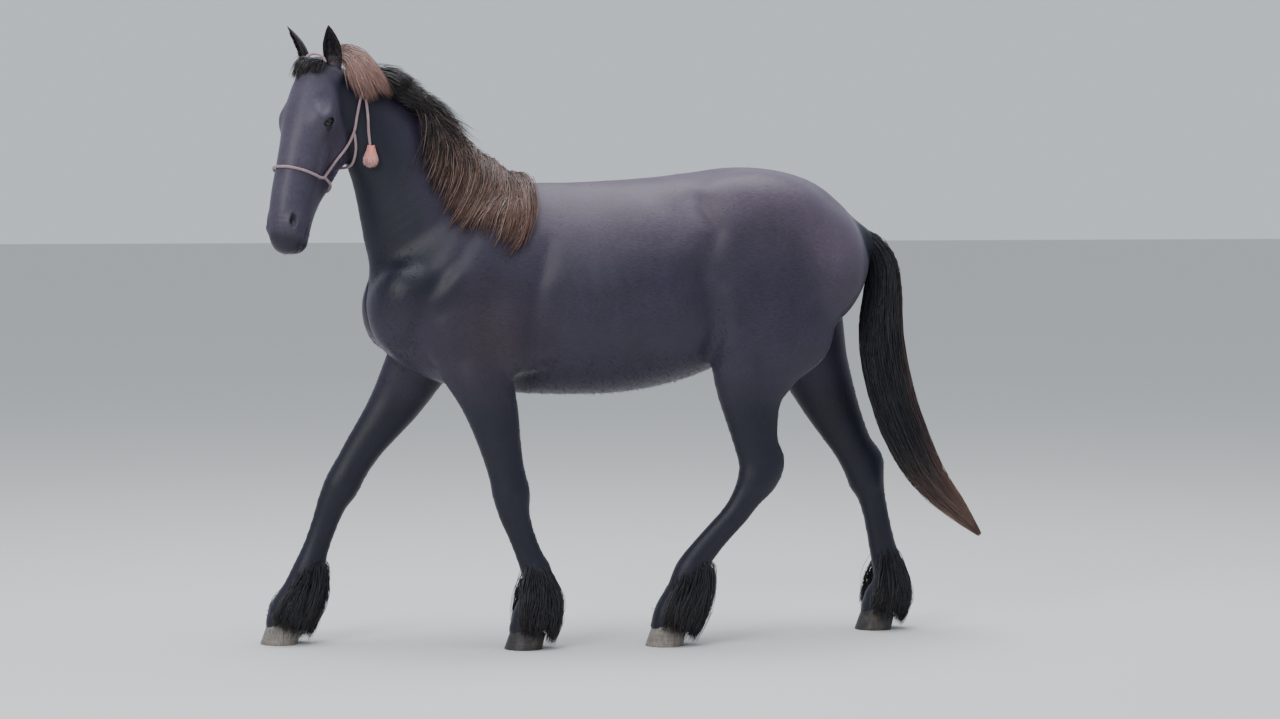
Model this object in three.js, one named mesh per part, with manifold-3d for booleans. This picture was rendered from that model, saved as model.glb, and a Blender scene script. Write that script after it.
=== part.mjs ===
// A young Friesian horse at life size, standing still in a long trotting stride.
// Millimetres, +Z up. The horse faces -X and its left side faces -Y.
// The flesh is one smooth field of tubes and muscles, meshed, thinned and parted by thin cuts.
import * as THREE from 'three';
import { mergeVertices } from 'three/addons/utils/BufferGeometryUtils.js';
import Module from 'manifold-3d';

const wasm = await Module();
wasm.setup();

// Driving dimensions
const withersHeight = 1440;
const croupHeight = 1490;
const gap = 0.3;                      // air kept between touching pieces
const headLength = 588;
const headYaw = 45;                   // degrees that the face turns towards the left side
const headPitch = 21.5;                // degrees that the face line leans forward of vertical
const pollPoint = [-926, -115, 1821]; // top of the forehead line, between the ears
const legSide = { fore: 136, hind: 142 };
const eyeRadius = 21;
const ropeRadius = 4.5;
const finestDetails = [0.1, 0.05, 0.2, 0.02, 0.01]; // smaller facets than these are closed up
const finestEdge = 0.6;               // no edge of the skin is made shorter
const eyeTilt = -38;                  // degrees that the lids' opening leans to the face line

// Colours
const coatColour = 0x17141a;
const neckColour = 0x14131b;
const legColour = 0x12131c;
const hornColour = 0x6d675f;
const darkHornColour = 0x1e1c1d;
const eyeColour = 0x0c0908;
const ropeColour = 0xd0705a;
const tasselColour = 0xe0592f;

const radians = THREE.MathUtils.degToRad;
const vec = (x, y, z) => new THREE.Vector3(x, y, z);
const mix = (a, b, t) => a + (b - a) * t;
const clamp = (x, low, high) => Math.min(Math.max(x, low), high);

// A small seeded random source, so that every build gives the same locks
function randomSource(seed) {
  let state = seed;
  return () => {
    state = (state + 0x6d2b79f5) | 0;
    let t = Math.imul(state ^ (state >>> 15), 1 | state);
    t = (t + Math.imul(t ^ (t >>> 7), 61 | t)) ^ t;
    return ((t ^ (t >>> 14)) >>> 0) / 4294967296;
  };
}

// Frames: a place and three axes. The head's axes run along the face, to its left and out of it.
const world = { origin: vec(0, 0, 0), x: vec(1, 0, 0), y: vec(0, 1, 0), z: vec(0, 0, 1) };

function headFrame() {
  const yaw = radians(headYaw);
  const pitch = radians(headPitch);
  const ahead = vec(-Math.cos(yaw), -Math.sin(yaw), 0);
  const along = ahead.clone().multiplyScalar(Math.sin(pitch)).add(vec(0, 0, -Math.cos(pitch)));
  const out = ahead.clone().multiplyScalar(Math.cos(pitch)).add(vec(0, 0, Math.sin(pitch)));
  const left = out.clone().cross(along);
  return { origin: vec(...pollPoint), x: along, y: left, z: out };
}

const head = headFrame();

function place(frame, x, y, z) {
  return frame.origin.clone()
    .addScaledVector(frame.x, x)
    .addScaledVector(frame.y, y)
    .addScaledVector(frame.z, z);
}

// Smooth curve through rows of numbers
function curveRow(rows, t) {
  const last = rows.length - 1;
  const place = clamp(t, 0, 1) * last;
  const i = Math.min(Math.floor(place), last - 1);
  const u = place - i;
  const before = rows[Math.max(i - 1, 0)];
  const a = rows[i];
  const b = rows[i + 1];
  const after = rows[Math.min(i + 2, last)];
  return a.map((value, k) => {
    const slopeA = (b[k] - before[k]) / 2;
    const slopeB = (after[k] - value) / 2;
    const u2 = u * u;
    const u3 = u2 * u;
    return (2 * u3 - 3 * u2 + 1) * value + (u3 - 2 * u2 + u) * slopeA
      + (3 * u2 - 2 * u3) * b[k] + (u3 - u2) * slopeB;
  });
}

// A tube of flesh through stations [x, y, z, half width, radius up, radius down, squareness].
// Up is the side that the direction of travel crossed with the side axis points to.
function tube(frame, blend, stations, pieces = 4) {
  const rows = stations.map(([x, y, z, w, up, down, power = 2]) => [
    ...place(frame, x, y, z).toArray(), w, up, down, power,
  ]);
  const count = (rows.length - 1) * pieces;
  const rings = [];
  for (let i = 0; i <= count; i += 1) {
    const row = curveRow(rows, i / count);
    const [x, y, z, w, up, down, power] = row;
    rings.push({ at: vec(x, y, z), w, up, down, power });
  }
  rings.forEach((ring, i) => {
    const next = rings[Math.min(i + 1, count)].at;
    const previous = rings[Math.max(i - 1, 0)].at;
    ring.along = next.clone().sub(previous).normalize();
    ring.side = frame.y.clone().addScaledVector(ring.along, -frame.y.dot(ring.along)).normalize();
    ring.high = ring.along.clone().cross(ring.side);
  });
  return { kind: 'tube', blend, rings };
}

// A muscle or bone: an ellipsoid whose axes may be tilted by angles about the side axis and up axis
function muscle(frame, blend, centre, radii, tilt = 0, turn = 0) {
  const spin = new THREE.Quaternion()
    .setFromAxisAngle(vec(0, 0, 1), radians(turn))
    .multiply(new THREE.Quaternion().setFromAxisAngle(vec(0, 1, 0), radians(tilt)));
  const axes = [vec(1, 0, 0), vec(0, 1, 0), vec(0, 0, 1)].map((axis) => {
    const local = axis.applyQuaternion(spin);
    return vec(0, 0, 0).addScaledVector(frame.x, local.x)
      .addScaledVector(frame.y, local.y).addScaledVector(frame.z, local.z);
  });
  return { kind: 'muscle', blend, at: place(frame, ...centre), radii, axes };
}

// The same muscle on both sides
function pair(frame, blend, [x, y, z], radii, tilt = 0, turn = 0) {
  return [
    muscle(frame, blend, [x, y, z], radii, tilt, turn),
    muscle(frame, blend, [x, -y, z], radii, tilt, -turn),
  ];
}

const carve = (shapes) => shapes.map((shape) => ({ ...shape, hollow: true }));

// Distance from an ellipse-like section, good near the surface
function sectionDistance(a, b, c, w, high, cap, power) {
  const length = Math.hypot(a, b, c);
  if (length < 1e-6) {
    return -Math.min(w, high);
  }
  const flat = power === 2
    ? Math.hypot(a / w, b / high)
    : (Math.abs(a / w) ** power + Math.abs(b / high) ** power) ** (1 / power);
  const q = Math.hypot(flat, c / cap);
  return length * (1 - 1 / q);
}

function segmentDistance(p0, p1, x, y, z) {
  const beyond0 = (x - p0.at.x) * p0.along.x + (y - p0.at.y) * p0.along.y + (z - p0.at.z) * p0.along.z;
  const beyond1 = (x - p1.at.x) * p1.along.x + (y - p1.at.y) * p1.along.y + (z - p1.at.z) * p1.along.z;
  let t = beyond0 <= 0 ? 0 : 1;
  let c = beyond0 <= 0 ? beyond0 : beyond1;
  if (beyond0 > 0 && beyond1 < 0) {
    t = beyond0 / (beyond0 - beyond1);
    c = 0;
  }
  const ox = x - mix(p0.at.x, p1.at.x, t);
  const oy = y - mix(p0.at.y, p1.at.y, t);
  const oz = z - mix(p0.at.z, p1.at.z, t);
  const along = (axis) => ox * mix(p0[axis].x, p1[axis].x, t) + oy * mix(p0[axis].y, p1[axis].y, t)
    + oz * mix(p0[axis].z, p1[axis].z, t);
  const a = along('side');
  const b = along('high');
  const w = mix(p0.w, p1.w, t);
  const up = mix(p0.up, p1.up, t);
  const down = mix(p0.down, p1.down, t);
  const power = b > 0 ? mix(p0.power, p1.power, t) : 2;
  return sectionDistance(a, b, c, w, b > 0 ? up : down, Math.min(w, up, down) * 0.8, power);
}

function muscleDistance(shape, x, y, z) {
  const ox = x - shape.at.x;
  const oy = y - shape.at.y;
  const oz = z - shape.at.z;
  const [a, b, c] = shape.axes.map((axis) => ox * axis.x + oy * axis.y + oz * axis.z);
  return sectionDistance(b, c, a, shape.radii[1], shape.radii[2], shape.radii[0], 2);
}

function shapeDistance(shape, x, y, z) {
  if (shape.kind === 'muscle') {
    return muscleDistance(shape, x, y, z);
  }
  let nearest = Infinity;
  for (let i = 0; i + 1 < shape.rings.length; i += 1) {
    nearest = Math.min(nearest, segmentDistance(shape.rings[i], shape.rings[i + 1], x, y, z));
  }
  return nearest;
}

function join(field, shape, distance) {
  const other = shape.hollow ? -distance : distance;
  const h = Math.max(shape.blend - Math.abs(field - other), 0) / shape.blend;
  const soft = h * h * shape.blend / 4;
  return shape.hollow ? Math.max(field, other) + soft : Math.min(field, other) - soft;
}

const farAway = 1000;

function fieldAt(shapes, p) {
  let field = farAway;
  for (const shape of shapes) {
    field = join(field, shape, shapeDistance(shape, p.x, p.y, p.z));
  }
  return field;
}

function fieldNormal(shapes, p) {
  const d = 2;
  const slope = (dx, dy, dz) => fieldAt(shapes, vec(p.x + dx, p.y + dy, p.z + dz))
    - fieldAt(shapes, vec(p.x - dx, p.y - dy, p.z - dz));
  return vec(slope(d, 0, 0), slope(0, d, 0), slope(0, 0, d)).normalize();
}

// Moves a point along the field's slope until it lies at a height above the skin
function settle(shapes, p, height) {
  const point = p.clone();
  for (let i = 0; i < 6; i += 1) {
    const away = height - fieldAt(shapes, point);
    point.addScaledVector(fieldNormal(shapes, point), clamp(away, -40, 40));
  }
  return point;
}

// The horse's shape

function trunk() {
  return [
    tube(world, 40, [
      [-664, 0, 1066, 96, 92, 108],
      [-610, 0, 1068, 148, 160, 192],
      [-500, 0, 1080, 172, 230, 268],
      [-380, 0, 1095, 184, 295, 305, 1.7],
      [-250, 0, 1105, 192, 330, 321, 1.55],
      [-100, 0, 1100, 216, withersHeight - 1100, 321, 1.65],
      [50, 0, 1100, 238, 346, 316, 1.8],
      [200, 0, 1118, 246, 340, 302, 1.95],
      [330, 0, 1152, 240, 324, 280, 2.1],
      [450, 0, 1190, 230, croupHeight - 1190, 268, 2.2],
      [560, 0, 1205, 220, 270, 252, 2.2],
      [660, 0, 1195, 192, 226, 222, 2.1],
      [740, 0, 1190, 142, 168, 150],
      [792, 0, 1200, 88, 112, 90],
    ], 6),
    ...pair(world, 45, [-660, 84, 1040], [74, 70, 116]),
    ...pair(world, 110, [-440, 114, 1165], [215, 44, 84], -50),
    ...pair(world, 60, [-330, 150, 960], [135, 46, 100], 25),
    ...pair(world, 60, [-618, 126, 1092], [72, 54, 84], -30),
    ...pair(world, 80, [490, 138, 1330], [190, 86, 120], 10),
    ...pair(world, 80, [690, 112, 1150], [118, 86, 160], 12),
    ...carve(pair(world, 90, [310, 312, 1120], [75, 78, 160], -15)),
    ...carve([muscle(world, 45, [-752, 0, 1010], [40, 16, 130], 8)]),
  ];
}

function neck() {
  return [
    tube(world, 45, [
      [-866, -55, 1728, 58, 78, 85, 1.8],
      [-792, -42, 1672, 64, 104, 112, 1.7],
      [-722, -28, 1598, 72, 128, 120, 1.6],
      [-636, -10, 1494, 86, 160, 162, 1.6],
      [-508, 0, 1310, 120, 232, 256, 1.6],
      [-400, 0, 1180, 138, 275, 320, 1.6],
      [-300, 0, 1060, 120, 200, 250, 1.8],
    ], 8),
  ];
}

// Each leg: the middle of its hoof on the floor and its stations from the trunk to the coronet,
// as x, z, half width, radius behind and radius ahead
const legs = {
  fore_left: {
    side: -legSide.fore,
    hoof: -266,
    top: 774,
    topSlope: 0,
    range: [-1300, -150],
    stations: [
      [-470, 1020, 62, 110, 120], [-425, 900, 66, 104, 112], [-385, 800, 60, 90, 94],
      [-359, 715, 53, 78, 79], [-338, 625, 46, 64, 65], [-320, 545, 43, 57, 57],
      [-305, 480, 46, 58, 59], [-294, 415, 38, 46, 49], [-274, 350, 30, 42, 40],
      [-250, 285, 30, 43, 39], [-228, 225, 38, 52, 44], [-232, 165, 36, 42, 44],
      [-248, 104, 46, 50, 52],
    ],
  },
  fore_right: {
    side: legSide.fore,
    hoof: -992,
    top: 790,
    topSlope: 0,
    range: [-1300, -400],
    stations: [
      [-480, 1020, 62, 110, 120], [-545, 890, 66, 100, 108], [-616, 765, 57, 82, 85],
      [-668, 690, 50, 68, 71], [-722, 618, 45, 58, 60], [-764, 552, 42, 54, 55],
      [-797, 492, 45, 55, 56], [-827, 437, 37, 46, 47], [-852, 375, 30, 42, 40],
      [-880, 300, 30, 43, 39], [-908, 228, 38, 52, 45], [-940, 168, 36, 42, 44],
      [-972, 106, 46, 50, 52],
    ],
  },
  hind_left: {
    side: -legSide.hind,
    hoof: 178,
    top: 812,
    topSlope: 0.347,
    range: [60, 830],
    stations: [
      [570, 1240, 72, 150, 160], [505, 1100, 88, 228, 175], [470, 985, 84, 242, 160],
      [446, 885, 70, 196, 124], [442, 800, 57, 138, 102], [448, 735, 49, 98, 86],
      [466, 630, 39, 72, 69], [480, 565, 40, 79, 66], [470, 512, 43, 65, 61],
      [442, 462, 37, 46, 49], [400, 405, 31, 42, 40], [346, 347, 30, 42, 39],
      [294, 289, 31, 46, 40], [256, 233, 38, 56, 46], [228, 172, 36, 45, 44],
      [198, 106, 46, 50, 52],
    ],
  },
  hind_right: {
    side: legSide.hind,
    hoof: 926,
    top: 812,
    topSlope: 0.347,
    range: [60, 1100],
    stations: [
      [610, 1220, 72, 140, 150], [650, 1080, 86, 155, 165], [688, 960, 80, 138, 145],
      [728, 850, 67, 112, 114], [775, 740, 53, 92, 91], [815, 660, 43, 77, 75],
      [850, 592, 39, 68, 62], [880, 530, 41, 79, 58], [900, 480, 43, 60, 58],
      [914, 438, 35, 47, 46], [928, 380, 30, 43, 40], [941, 315, 30, 44, 39],
      [955, 250, 32, 48, 42], [970, 192, 38, 56, 47], [966, 146, 36, 45, 44],
      [948, 102, 46, 50, 52],
    ],
  },
};

function leg(name) {
  const { side, stations } = legs[name];
  const last = stations.length - 1;
  const rows = stations.map(([x, z, w, back, front], i) => [x, side * (i < 2 ? 0.9 : 1), z, w, back, front]);
  const [x, z, w, back, front] = stations[last];
  rows.push([x - 14, side, z - 50, w, back, front]);
  return [tube(world, 34, rows)];
}

// Along the head, lengths are given for a 600 mm head and scaled
const along = (l) => (l * headLength) / 600;
const eyeCentre = [along(191), 72, -66];

function skull() {
  const row = ([l, d, w, up, down, power]) => [along(l), 0, d, w, up, down, power];
  const both = (blend, [l, s, d], ...form) => pair(head, blend, [along(l), s, d], ...form);
  return [
    tube(head, 22, [
      [12, -74, 46, 60, 60], [58, -75, 62, 78, 84], [126, -77, 76, 86, 100],
      [194, -80, 79, 89, 110], [270, -82, 68, 86, 92], [348, -84, 60, 81, 80, 2.2],
      [426, -88, 57, 79, 76, 2.3], [504, -96, 55, 73, 70, 2.3], [552, -102, 51, 60, 60, 2.2],
      [574, -106, 44, 46, 46],
    ].map(row)),
    tube(head, 20, [
      [160, -172, 54, 60, 82], [242, -168, 50, 60, 88], [320, -158, 44, 50, 72],
      [406, -145, 38, 36, 53], [484, -140, 35, 32, 42], [542, -142, 36, 30, 34],
      [566, -140, 29, 22, 24],
    ].map(row)),
    ...both(26, [198, 44, -166], [94, 26, 84], 12),
    ...both(26, [182, 62, -57], [52, 27, 36], 8),
    ...both(16, [282, 56, -102], [70, 12, 14], 6),
    ...both(16, [524, 38, -68], [34, 20, 26], 10),
    muscle(head, 12, [along(560), 0, -152], [29, 33, 24]),
    ...carve(both(14, [130, 66, -26], [26, 14, 14])),
    ...carve(both(5, [519, 54, -54], [23, 13, 8], 14, 16)),
    ...carve(both(6, [540, 53, -126], [60, 13, 5], 4)),
    ...carve([muscle(head, 6, [along(592), 0, -125], [20, 44, 5])]),
    ...both(24, [20, 50, -76], [24, 26, 30]),
  ];
}

const flesh = {
  trunk: trunk(),
  neck: neck(),
  head: skull(),
  fore_left: leg('fore_left'),
  fore_right: leg('fore_right'),
  hind_left: leg('hind_left'),
  hind_right: leg('hind_right'),
};
const body = Object.values(flesh).flat();
const upper = [...flesh.trunk, ...flesh.neck, ...flesh.head];

// Meshing: one vertex in each cell that the skin crosses

function span(low, high, step) {
  return Math.ceil((high - low) / step) + 1;
}

function shapeBounds(shape, reach) {
  const box = new THREE.Box3();
  if (shape.kind === 'muscle') {
    const r = Math.max(...shape.radii) + reach;
    box.setFromCenterAndSize(shape.at, vec(2 * r, 2 * r, 2 * r));
  } else {
    shape.rings.forEach((ring) => box.expandByPoint(ring.at));
  }
  return box;
}

function sampleGrid(shapes, low, high, step) {
  const size = [span(low.x, high.x, step), span(low.y, high.y, step), span(low.z, high.z, step)];
  const [nx, ny, nz] = size;
  const field = new Float32Array(nx * ny * nz).fill(farAway);
  const scratch = new Float32Array(nx * ny * nz);
  const cells = (box) => {
    const from = [box.min.x - low.x, box.min.y - low.y, box.min.z - low.z];
    const to = [box.max.x - low.x, box.max.y - low.y, box.max.z - low.z];
    return [
      from.map((v) => Math.max(Math.floor(v / step), 0)),
      to.map((v, i) => Math.min(Math.ceil(v / step), size[i] - 1)),
    ];
  };
  const visit = (box, action) => {
    const [from, to] = cells(box);
    for (let k = from[2]; k <= to[2]; k += 1) {
      for (let j = from[1]; j <= to[1]; j += 1) {
        for (let i = from[0]; i <= to[0]; i += 1) {
          action(i + nx * (j + ny * k), low.x + i * step, low.y + j * step, low.z + k * step);
        }
      }
    }
  };
  for (const shape of shapes) {
    const reach = shape.blend + 2 * step;
    if (shape.kind === 'muscle') {
      visit(shapeBounds(shape, reach), (n, x, y, z) => {
        field[n] = join(field[n], shape, muscleDistance(shape, x, y, z));
      });
    } else {
      scratch.fill(farAway);
      const touched = new THREE.Box3();
      for (let i = 0; i + 1 < shape.rings.length; i += 1) {
        const [a, b] = [shape.rings[i], shape.rings[i + 1]];
        const box = new THREE.Box3().setFromPoints([a.at, b.at])
          .expandByScalar(Math.max(a.w, a.up, a.down, b.w, b.up, b.down) + reach);
        touched.union(box);
        visit(box, (n, x, y, z) => {
          scratch[n] = Math.min(scratch[n], segmentDistance(a, b, x, y, z));
        });
      }
      visit(touched, (n) => {
        field[n] = join(field[n], shape, scratch[n]);
      });
    }
  }
  return { field, size };
}

// Where a square of the grid is inside at two opposite corners only, a third corner is filled,
// so that no edge of the mesh gets four faces
function fillPinches(field, [nx, ny, nz], fill) {
  const squares = [[1, nx], [1, nx * ny], [nx, nx * ny]];
  let changed = true;
  while (changed) {
    changed = false;
    for (let n = 0; n < field.length - nx * ny - nx - 1; n += 1) {
      for (const [a, b] of squares) {
        const here = field[n] < 0;
        const across = field[n + a + b] < 0;
        if (here === across && here !== field[n + a] < 0 && here !== field[n + b] < 0) {
          const [p, q] = here ? [n + a, n + b] : [n, n + a + b];
          field[field[p] < field[q] ? p : q] = fill;
          changed = true;
        }
      }
    }
  }
}

function meshField(shapes, low, high, step) {
  const { field, size } = sampleGrid(shapes, low, high, step);
  fillPinches(field, size, -0.2 * step);
  const [nx, ny, nz] = size;
  const index = (i, j, k) => i + nx * (j + ny * k);
  const onBorder = (i, last) => i === 0 || i === last;
  const value = (i, j, k) => {
    const f = field[index(i, j, k)];
    const border = onBorder(i, nx - 1) || onBorder(j, ny - 1) || onBorder(k, nz - 1);
    return border ? Math.max(f, step / 2) : f;
  };
  const corner = [0, 1, 2, 3, 4, 5, 6, 7].map((n) => [n & 1, (n >> 1) & 1, (n >> 2) & 1]);
  const edges = [];
  corner.forEach((a, m) => corner.forEach((b, n) => {
    if (m < n && Math.abs(a[0] - b[0]) + Math.abs(a[1] - b[1]) + Math.abs(a[2] - b[2]) === 1) {
      edges.push([m, n]);
    }
  }));
  const points = [];
  const vertexOf = new Int32Array(nx * ny * nz).fill(-1);
  for (let k = 0; k + 1 < nz; k += 1) {
    for (let j = 0; j + 1 < ny; j += 1) {
      for (let i = 0; i + 1 < nx; i += 1) {
        const v = corner.map(([a, b, c]) => value(i + a, j + b, k + c));
        const inside = v.filter((f) => f < 0).length;
        if (inside > 0 && inside < 8) {
          const sum = [0, 0, 0];
          let crossings = 0;
          for (const [m, n] of edges) {
            if ((v[m] < 0) !== (v[n] < 0)) {
              const t = v[m] / (v[m] - v[n]);
              for (let axis = 0; axis < 3; axis += 1) {
                sum[axis] += mix(corner[m][axis], corner[n][axis], t);
              }
              crossings += 1;
            }
          }
          vertexOf[index(i, j, k)] = points.length / 3;
          points.push(
            low.x + (i + sum[0] / crossings) * step,
            low.y + (j + sum[1] / crossings) * step,
            low.z + (k + sum[2] / crossings) * step,
          );
        }
      }
    }
  }
  const faces = [];
  const quad = (a, b, c, d, flip) => {
    if (flip) {
      faces.push([a, c, b], [a, d, c]);
    } else {
      faces.push([a, b, c], [a, c, d]);
    }
  };
  for (let k = 0; k + 1 < nz; k += 1) {
    for (let j = 0; j + 1 < ny; j += 1) {
      for (let i = 0; i + 1 < nx; i += 1) {
        const here = value(i, j, k) < 0;
        const cell = (a, b, c) => vertexOf[index(i - a, j - b, k - c)];
        if (j > 0 && k > 0 && here !== value(i + 1, j, k) < 0) {
          quad(cell(0, 1, 1), cell(0, 0, 1), cell(0, 0, 0), cell(0, 1, 0), !here);
        }
        if (i > 0 && k > 0 && here !== value(i, j + 1, k) < 0) {
          quad(cell(1, 0, 1), cell(1, 0, 0), cell(0, 0, 0), cell(0, 0, 1), !here);
        }
        if (i > 0 && j > 0 && here !== value(i, j, k + 1) < 0) {
          quad(cell(1, 1, 0), cell(0, 1, 0), cell(0, 0, 0), cell(1, 0, 0), !here);
        }
      }
    }
  }
  return { points, faces };
}

// Thinning: the edge whose loss changes the shape least is closed up, again and again

class Heap {
  constructor() {
    this.items = [];
  }

  push(item) {
    const { items } = this;
    items.push(item);
    let i = items.length - 1;
    while (i > 0) {
      const parent = (i - 1) >> 1;
      if (items[parent].cost <= items[i].cost) {
        break;
      }
      [items[parent], items[i]] = [items[i], items[parent]];
      i = parent;
    }
  }

  pop() {
    const { items } = this;
    const top = items[0];
    const last = items.pop();
    if (items.length > 0) {
      items[0] = last;
      let i = 0;
      for (;;) {
        let least = i;
        for (const child of [2 * i + 1, 2 * i + 2]) {
          if (child < items.length && items[child].cost < items[least].cost) {
            least = child;
          }
        }
        if (least === i) {
          break;
        }
        [items[least], items[i]] = [items[i], items[least]];
        i = least;
      }
    }
    return top;
  }
}

function thin({ points, faces }, target) {
  const count = points.length / 3;
  const at = Array.from({ length: count }, (_, i) => vec(...points.slice(3 * i, 3 * i + 3)));
  const around = Array.from({ length: count }, () => new Set());
  const quadric = Array.from({ length: count }, () => new Float64Array(10));
  const stamp = new Int32Array(count);
  const alive = faces.map(() => true);
  const cross = (a, b, c) => b.clone().sub(a).cross(c.clone().sub(a));
  faces.forEach((face, f) => {
    const [p0, p1, p2] = face.map((v) => at[v]);
    const n = cross(p0, p1, p2);
    const area = n.length() / 2;
    n.normalize();
    const d = -n.dot(p0);
    const plane = [n.x, n.y, n.z, d];
    const row = plane.flatMap((a, i) => plane.slice(i).map((b) => a * b));
    for (const v of face) {
      around[v].add(f);
      row.forEach((value, i) => {
        quadric[v][i] += value * area;
      });
    }
  });
  const cost = (q, p) => {
    const { x, y, z } = p;
    return q[0] * x * x + 2 * q[1] * x * y + 2 * q[2] * x * z + 2 * q[3] * x + q[4] * y * y
      + 2 * q[5] * y * z + 2 * q[6] * y + q[7] * z * z + 2 * q[8] * z + q[9];
  };
  const best = (u, v) => {
    const q = quadric[u].map((value, i) => value + quadric[v][i]);
    const middle = at[u].clone().add(at[v]).multiplyScalar(0.5);
    const span = at[u].distanceTo(at[v]);
    // a slight pull to the middle keeps flat places well shaped
    const pull = 1e-3 * (q[0] + q[4] + q[7]) + 1e-9;
    const m = new THREE.Matrix3().set(
      q[0] + pull, q[1], q[2],
      q[1], q[4] + pull, q[5],
      q[2], q[5], q[7] + pull,
    );
    const right = vec(pull * middle.x - q[3], pull * middle.y - q[6], pull * middle.z - q[8]);
    let point = right.applyMatrix3(m.invert());
    if (!(point.distanceTo(middle) < 1.5 * span)) {
      point = middle;
    }
    return { u, v, point, cost: cost(q, point) + 1e-6 * span * span, mark: stamp[u] + stamp[v] };
  };
  const neighbours = (v) => {
    const set = new Set();
    for (const f of around[v]) {
      for (const other of faces[f]) {
        if (other !== v) {
          set.add(other);
        }
      }
    }
    return set;
  };
  const heap = new Heap();
  faces.forEach(([a, b, c]) => {
    for (const [u, v] of [[a, b], [b, c], [c, a]]) {
      if (u < v) {
        heap.push(best(u, v));
      }
    }
  });
  const turnsOver = (v, skip, point) => {
    for (const f of around[v]) {
      const face = faces[f];
      if (!face.includes(skip)) {
        const before = face.map((w) => at[w]);
        const after = face.map((w) => (w === v ? point : at[w]));
        const n0 = cross(...before);
        const n1 = cross(...after);
        const longest = Math.max(
          after[0].distanceToSquared(after[1]),
          after[1].distanceToSquared(after[2]),
          after[2].distanceToSquared(after[0]),
        );
        if (n0.dot(n1) < 0.3 * n0.length() * n1.length() || n1.length() < 0.06 * longest) {
          return true;
        }
      }
    }
    return false;
  };
  let left = faces.length;
  while (left > target && heap.items.length > 0) {
    const { u, v, point, mark } = heap.pop();
    const fresh = stamp[u] >= 0 && stamp[v] >= 0 && mark === stamp[u] + stamp[v];
    if (fresh && around[u].size && around[v].size) {
      const ring = neighbours(u);
      const shared = [...neighbours(v)].filter((w) => ring.has(w));
      const joined = ring.has(v) && shared.length === 2;
      const crowded = [...ring, ...neighbours(v)]
        .some((w) => w !== u && w !== v && at[w].distanceTo(point) < finestEdge);
      if (joined && !crowded && !turnsOver(u, v, point) && !turnsOver(v, u, point)) {
        for (const f of [...around[v]]) {
          if (faces[f].includes(u)) {
            faces[f].forEach((w) => around[w].delete(f));
            alive[f] = false;
            left -= 1;
          } else {
            faces[f] = faces[f].map((w) => (w === v ? u : w));
            around[u].add(f);
          }
        }
        around[v].clear();
        at[u].copy(point);
        quadric[v].forEach((value, i) => {
          quadric[u][i] += value;
        });
        stamp[v] = -1;
        const touched = neighbours(u);
        stamp[u] += 1;
        touched.forEach((w) => heap.push(best(u, w)));
      }
    }
  }
  const kept = faces.filter((_, f) => alive[f]);
  return { points: at.flatMap((p) => p.toArray()), faces: kept };
}

// Solids

function solidFromMesh({ points, faces }) {
  const geometry = new THREE.BufferGeometry();
  geometry.setAttribute('position', new THREE.BufferAttribute(new Float32Array(points), 3));
  geometry.setIndex(faces.flat());
  return toSolid(geometry);
}

function toSolid(geometry) {
  const bare = geometry.clone();
  bare.deleteAttribute('normal');
  bare.deleteAttribute('uv');
  const merged = mergeVertices(bare, 1e-3);
  return new wasm.Manifold(new wasm.Mesh({
    numProp: 3,
    vertProperties: new Float32Array(merged.attributes.position.array),
    triVerts: new Uint32Array(merged.index.array),
  }));
}

function largest(solid) {
  const parts = solid.decompose();
  return parts.reduce((a, b) => (a.volume() > b.volume() ? a : b));
}

function toGeometry(solid) {
  const mesh = solid.getMesh();
  const geometry = new THREE.BufferGeometry();
  geometry.setAttribute('position', new THREE.BufferAttribute(new Float32Array(mesh.vertProperties), 3));
  geometry.setIndex(new THREE.BufferAttribute(new Uint32Array(mesh.triVerts), 1));
  return geometry;
}

// The half of space on the far side of a plane, as a large block standing off the plane by half the gap
function beyond(point, normal) {
  const size = 4000;
  const n = vec(...normal).normalize();
  const block = new THREE.BoxGeometry(size, size, size);
  block.applyQuaternion(new THREE.Quaternion().setFromUnitVectors(vec(0, 0, 1), n));
  const centre = vec(...point).addScaledVector(n, size / 2 - gap / 2);
  block.translate(centre.x, centre.y, centre.z);
  return toSolid(block);
}

// A solid from vertices and faces, turned so that its faces point out
function outward(points, faces) {
  const part = ([a, b, c]) => points[a].dot(points[b].clone().cross(points[c]));
  const volume = faces.reduce((sum, face) => sum + part(face), 0);
  return solidFromMesh({
    points: points.flatMap((p) => p.toArray()),
    faces: volume > 0 ? faces : faces.map(([a, b, c]) => [a, c, b]),
  });
}

// A closed skin over rings of points, with flat or pointed ends
function loft(rings) {
  const sides = rings[0].length;
  const points = rings.flat();
  const faces = [];
  for (let i = 0; i + 1 < rings.length; i += 1) {
    for (let j = 0; j < sides; j += 1) {
      const next = (j + 1) % sides;
      const a = i * sides + j;
      const b = i * sides + next;
      const c = a + sides;
      const d = b + sides;
      faces.push([a, b, c], [b, d, c]);
    }
  }
  const cap = (ring, flip) => {
    const centre = rings[ring].reduce((sum, p) => sum.add(p), vec(0, 0, 0)).divideScalar(sides);
    const hub = points.length;
    points.push(centre);
    for (let j = 0; j < sides; j += 1) {
      const a = ring * sides + j;
      const b = ring * sides + (j + 1) % sides;
      faces.push(flip ? [hub, b, a] : [hub, a, b]);
    }
  };
  cap(0, true);
  cap(rings.length - 1, false);
  return outward(points, faces);
}

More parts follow.
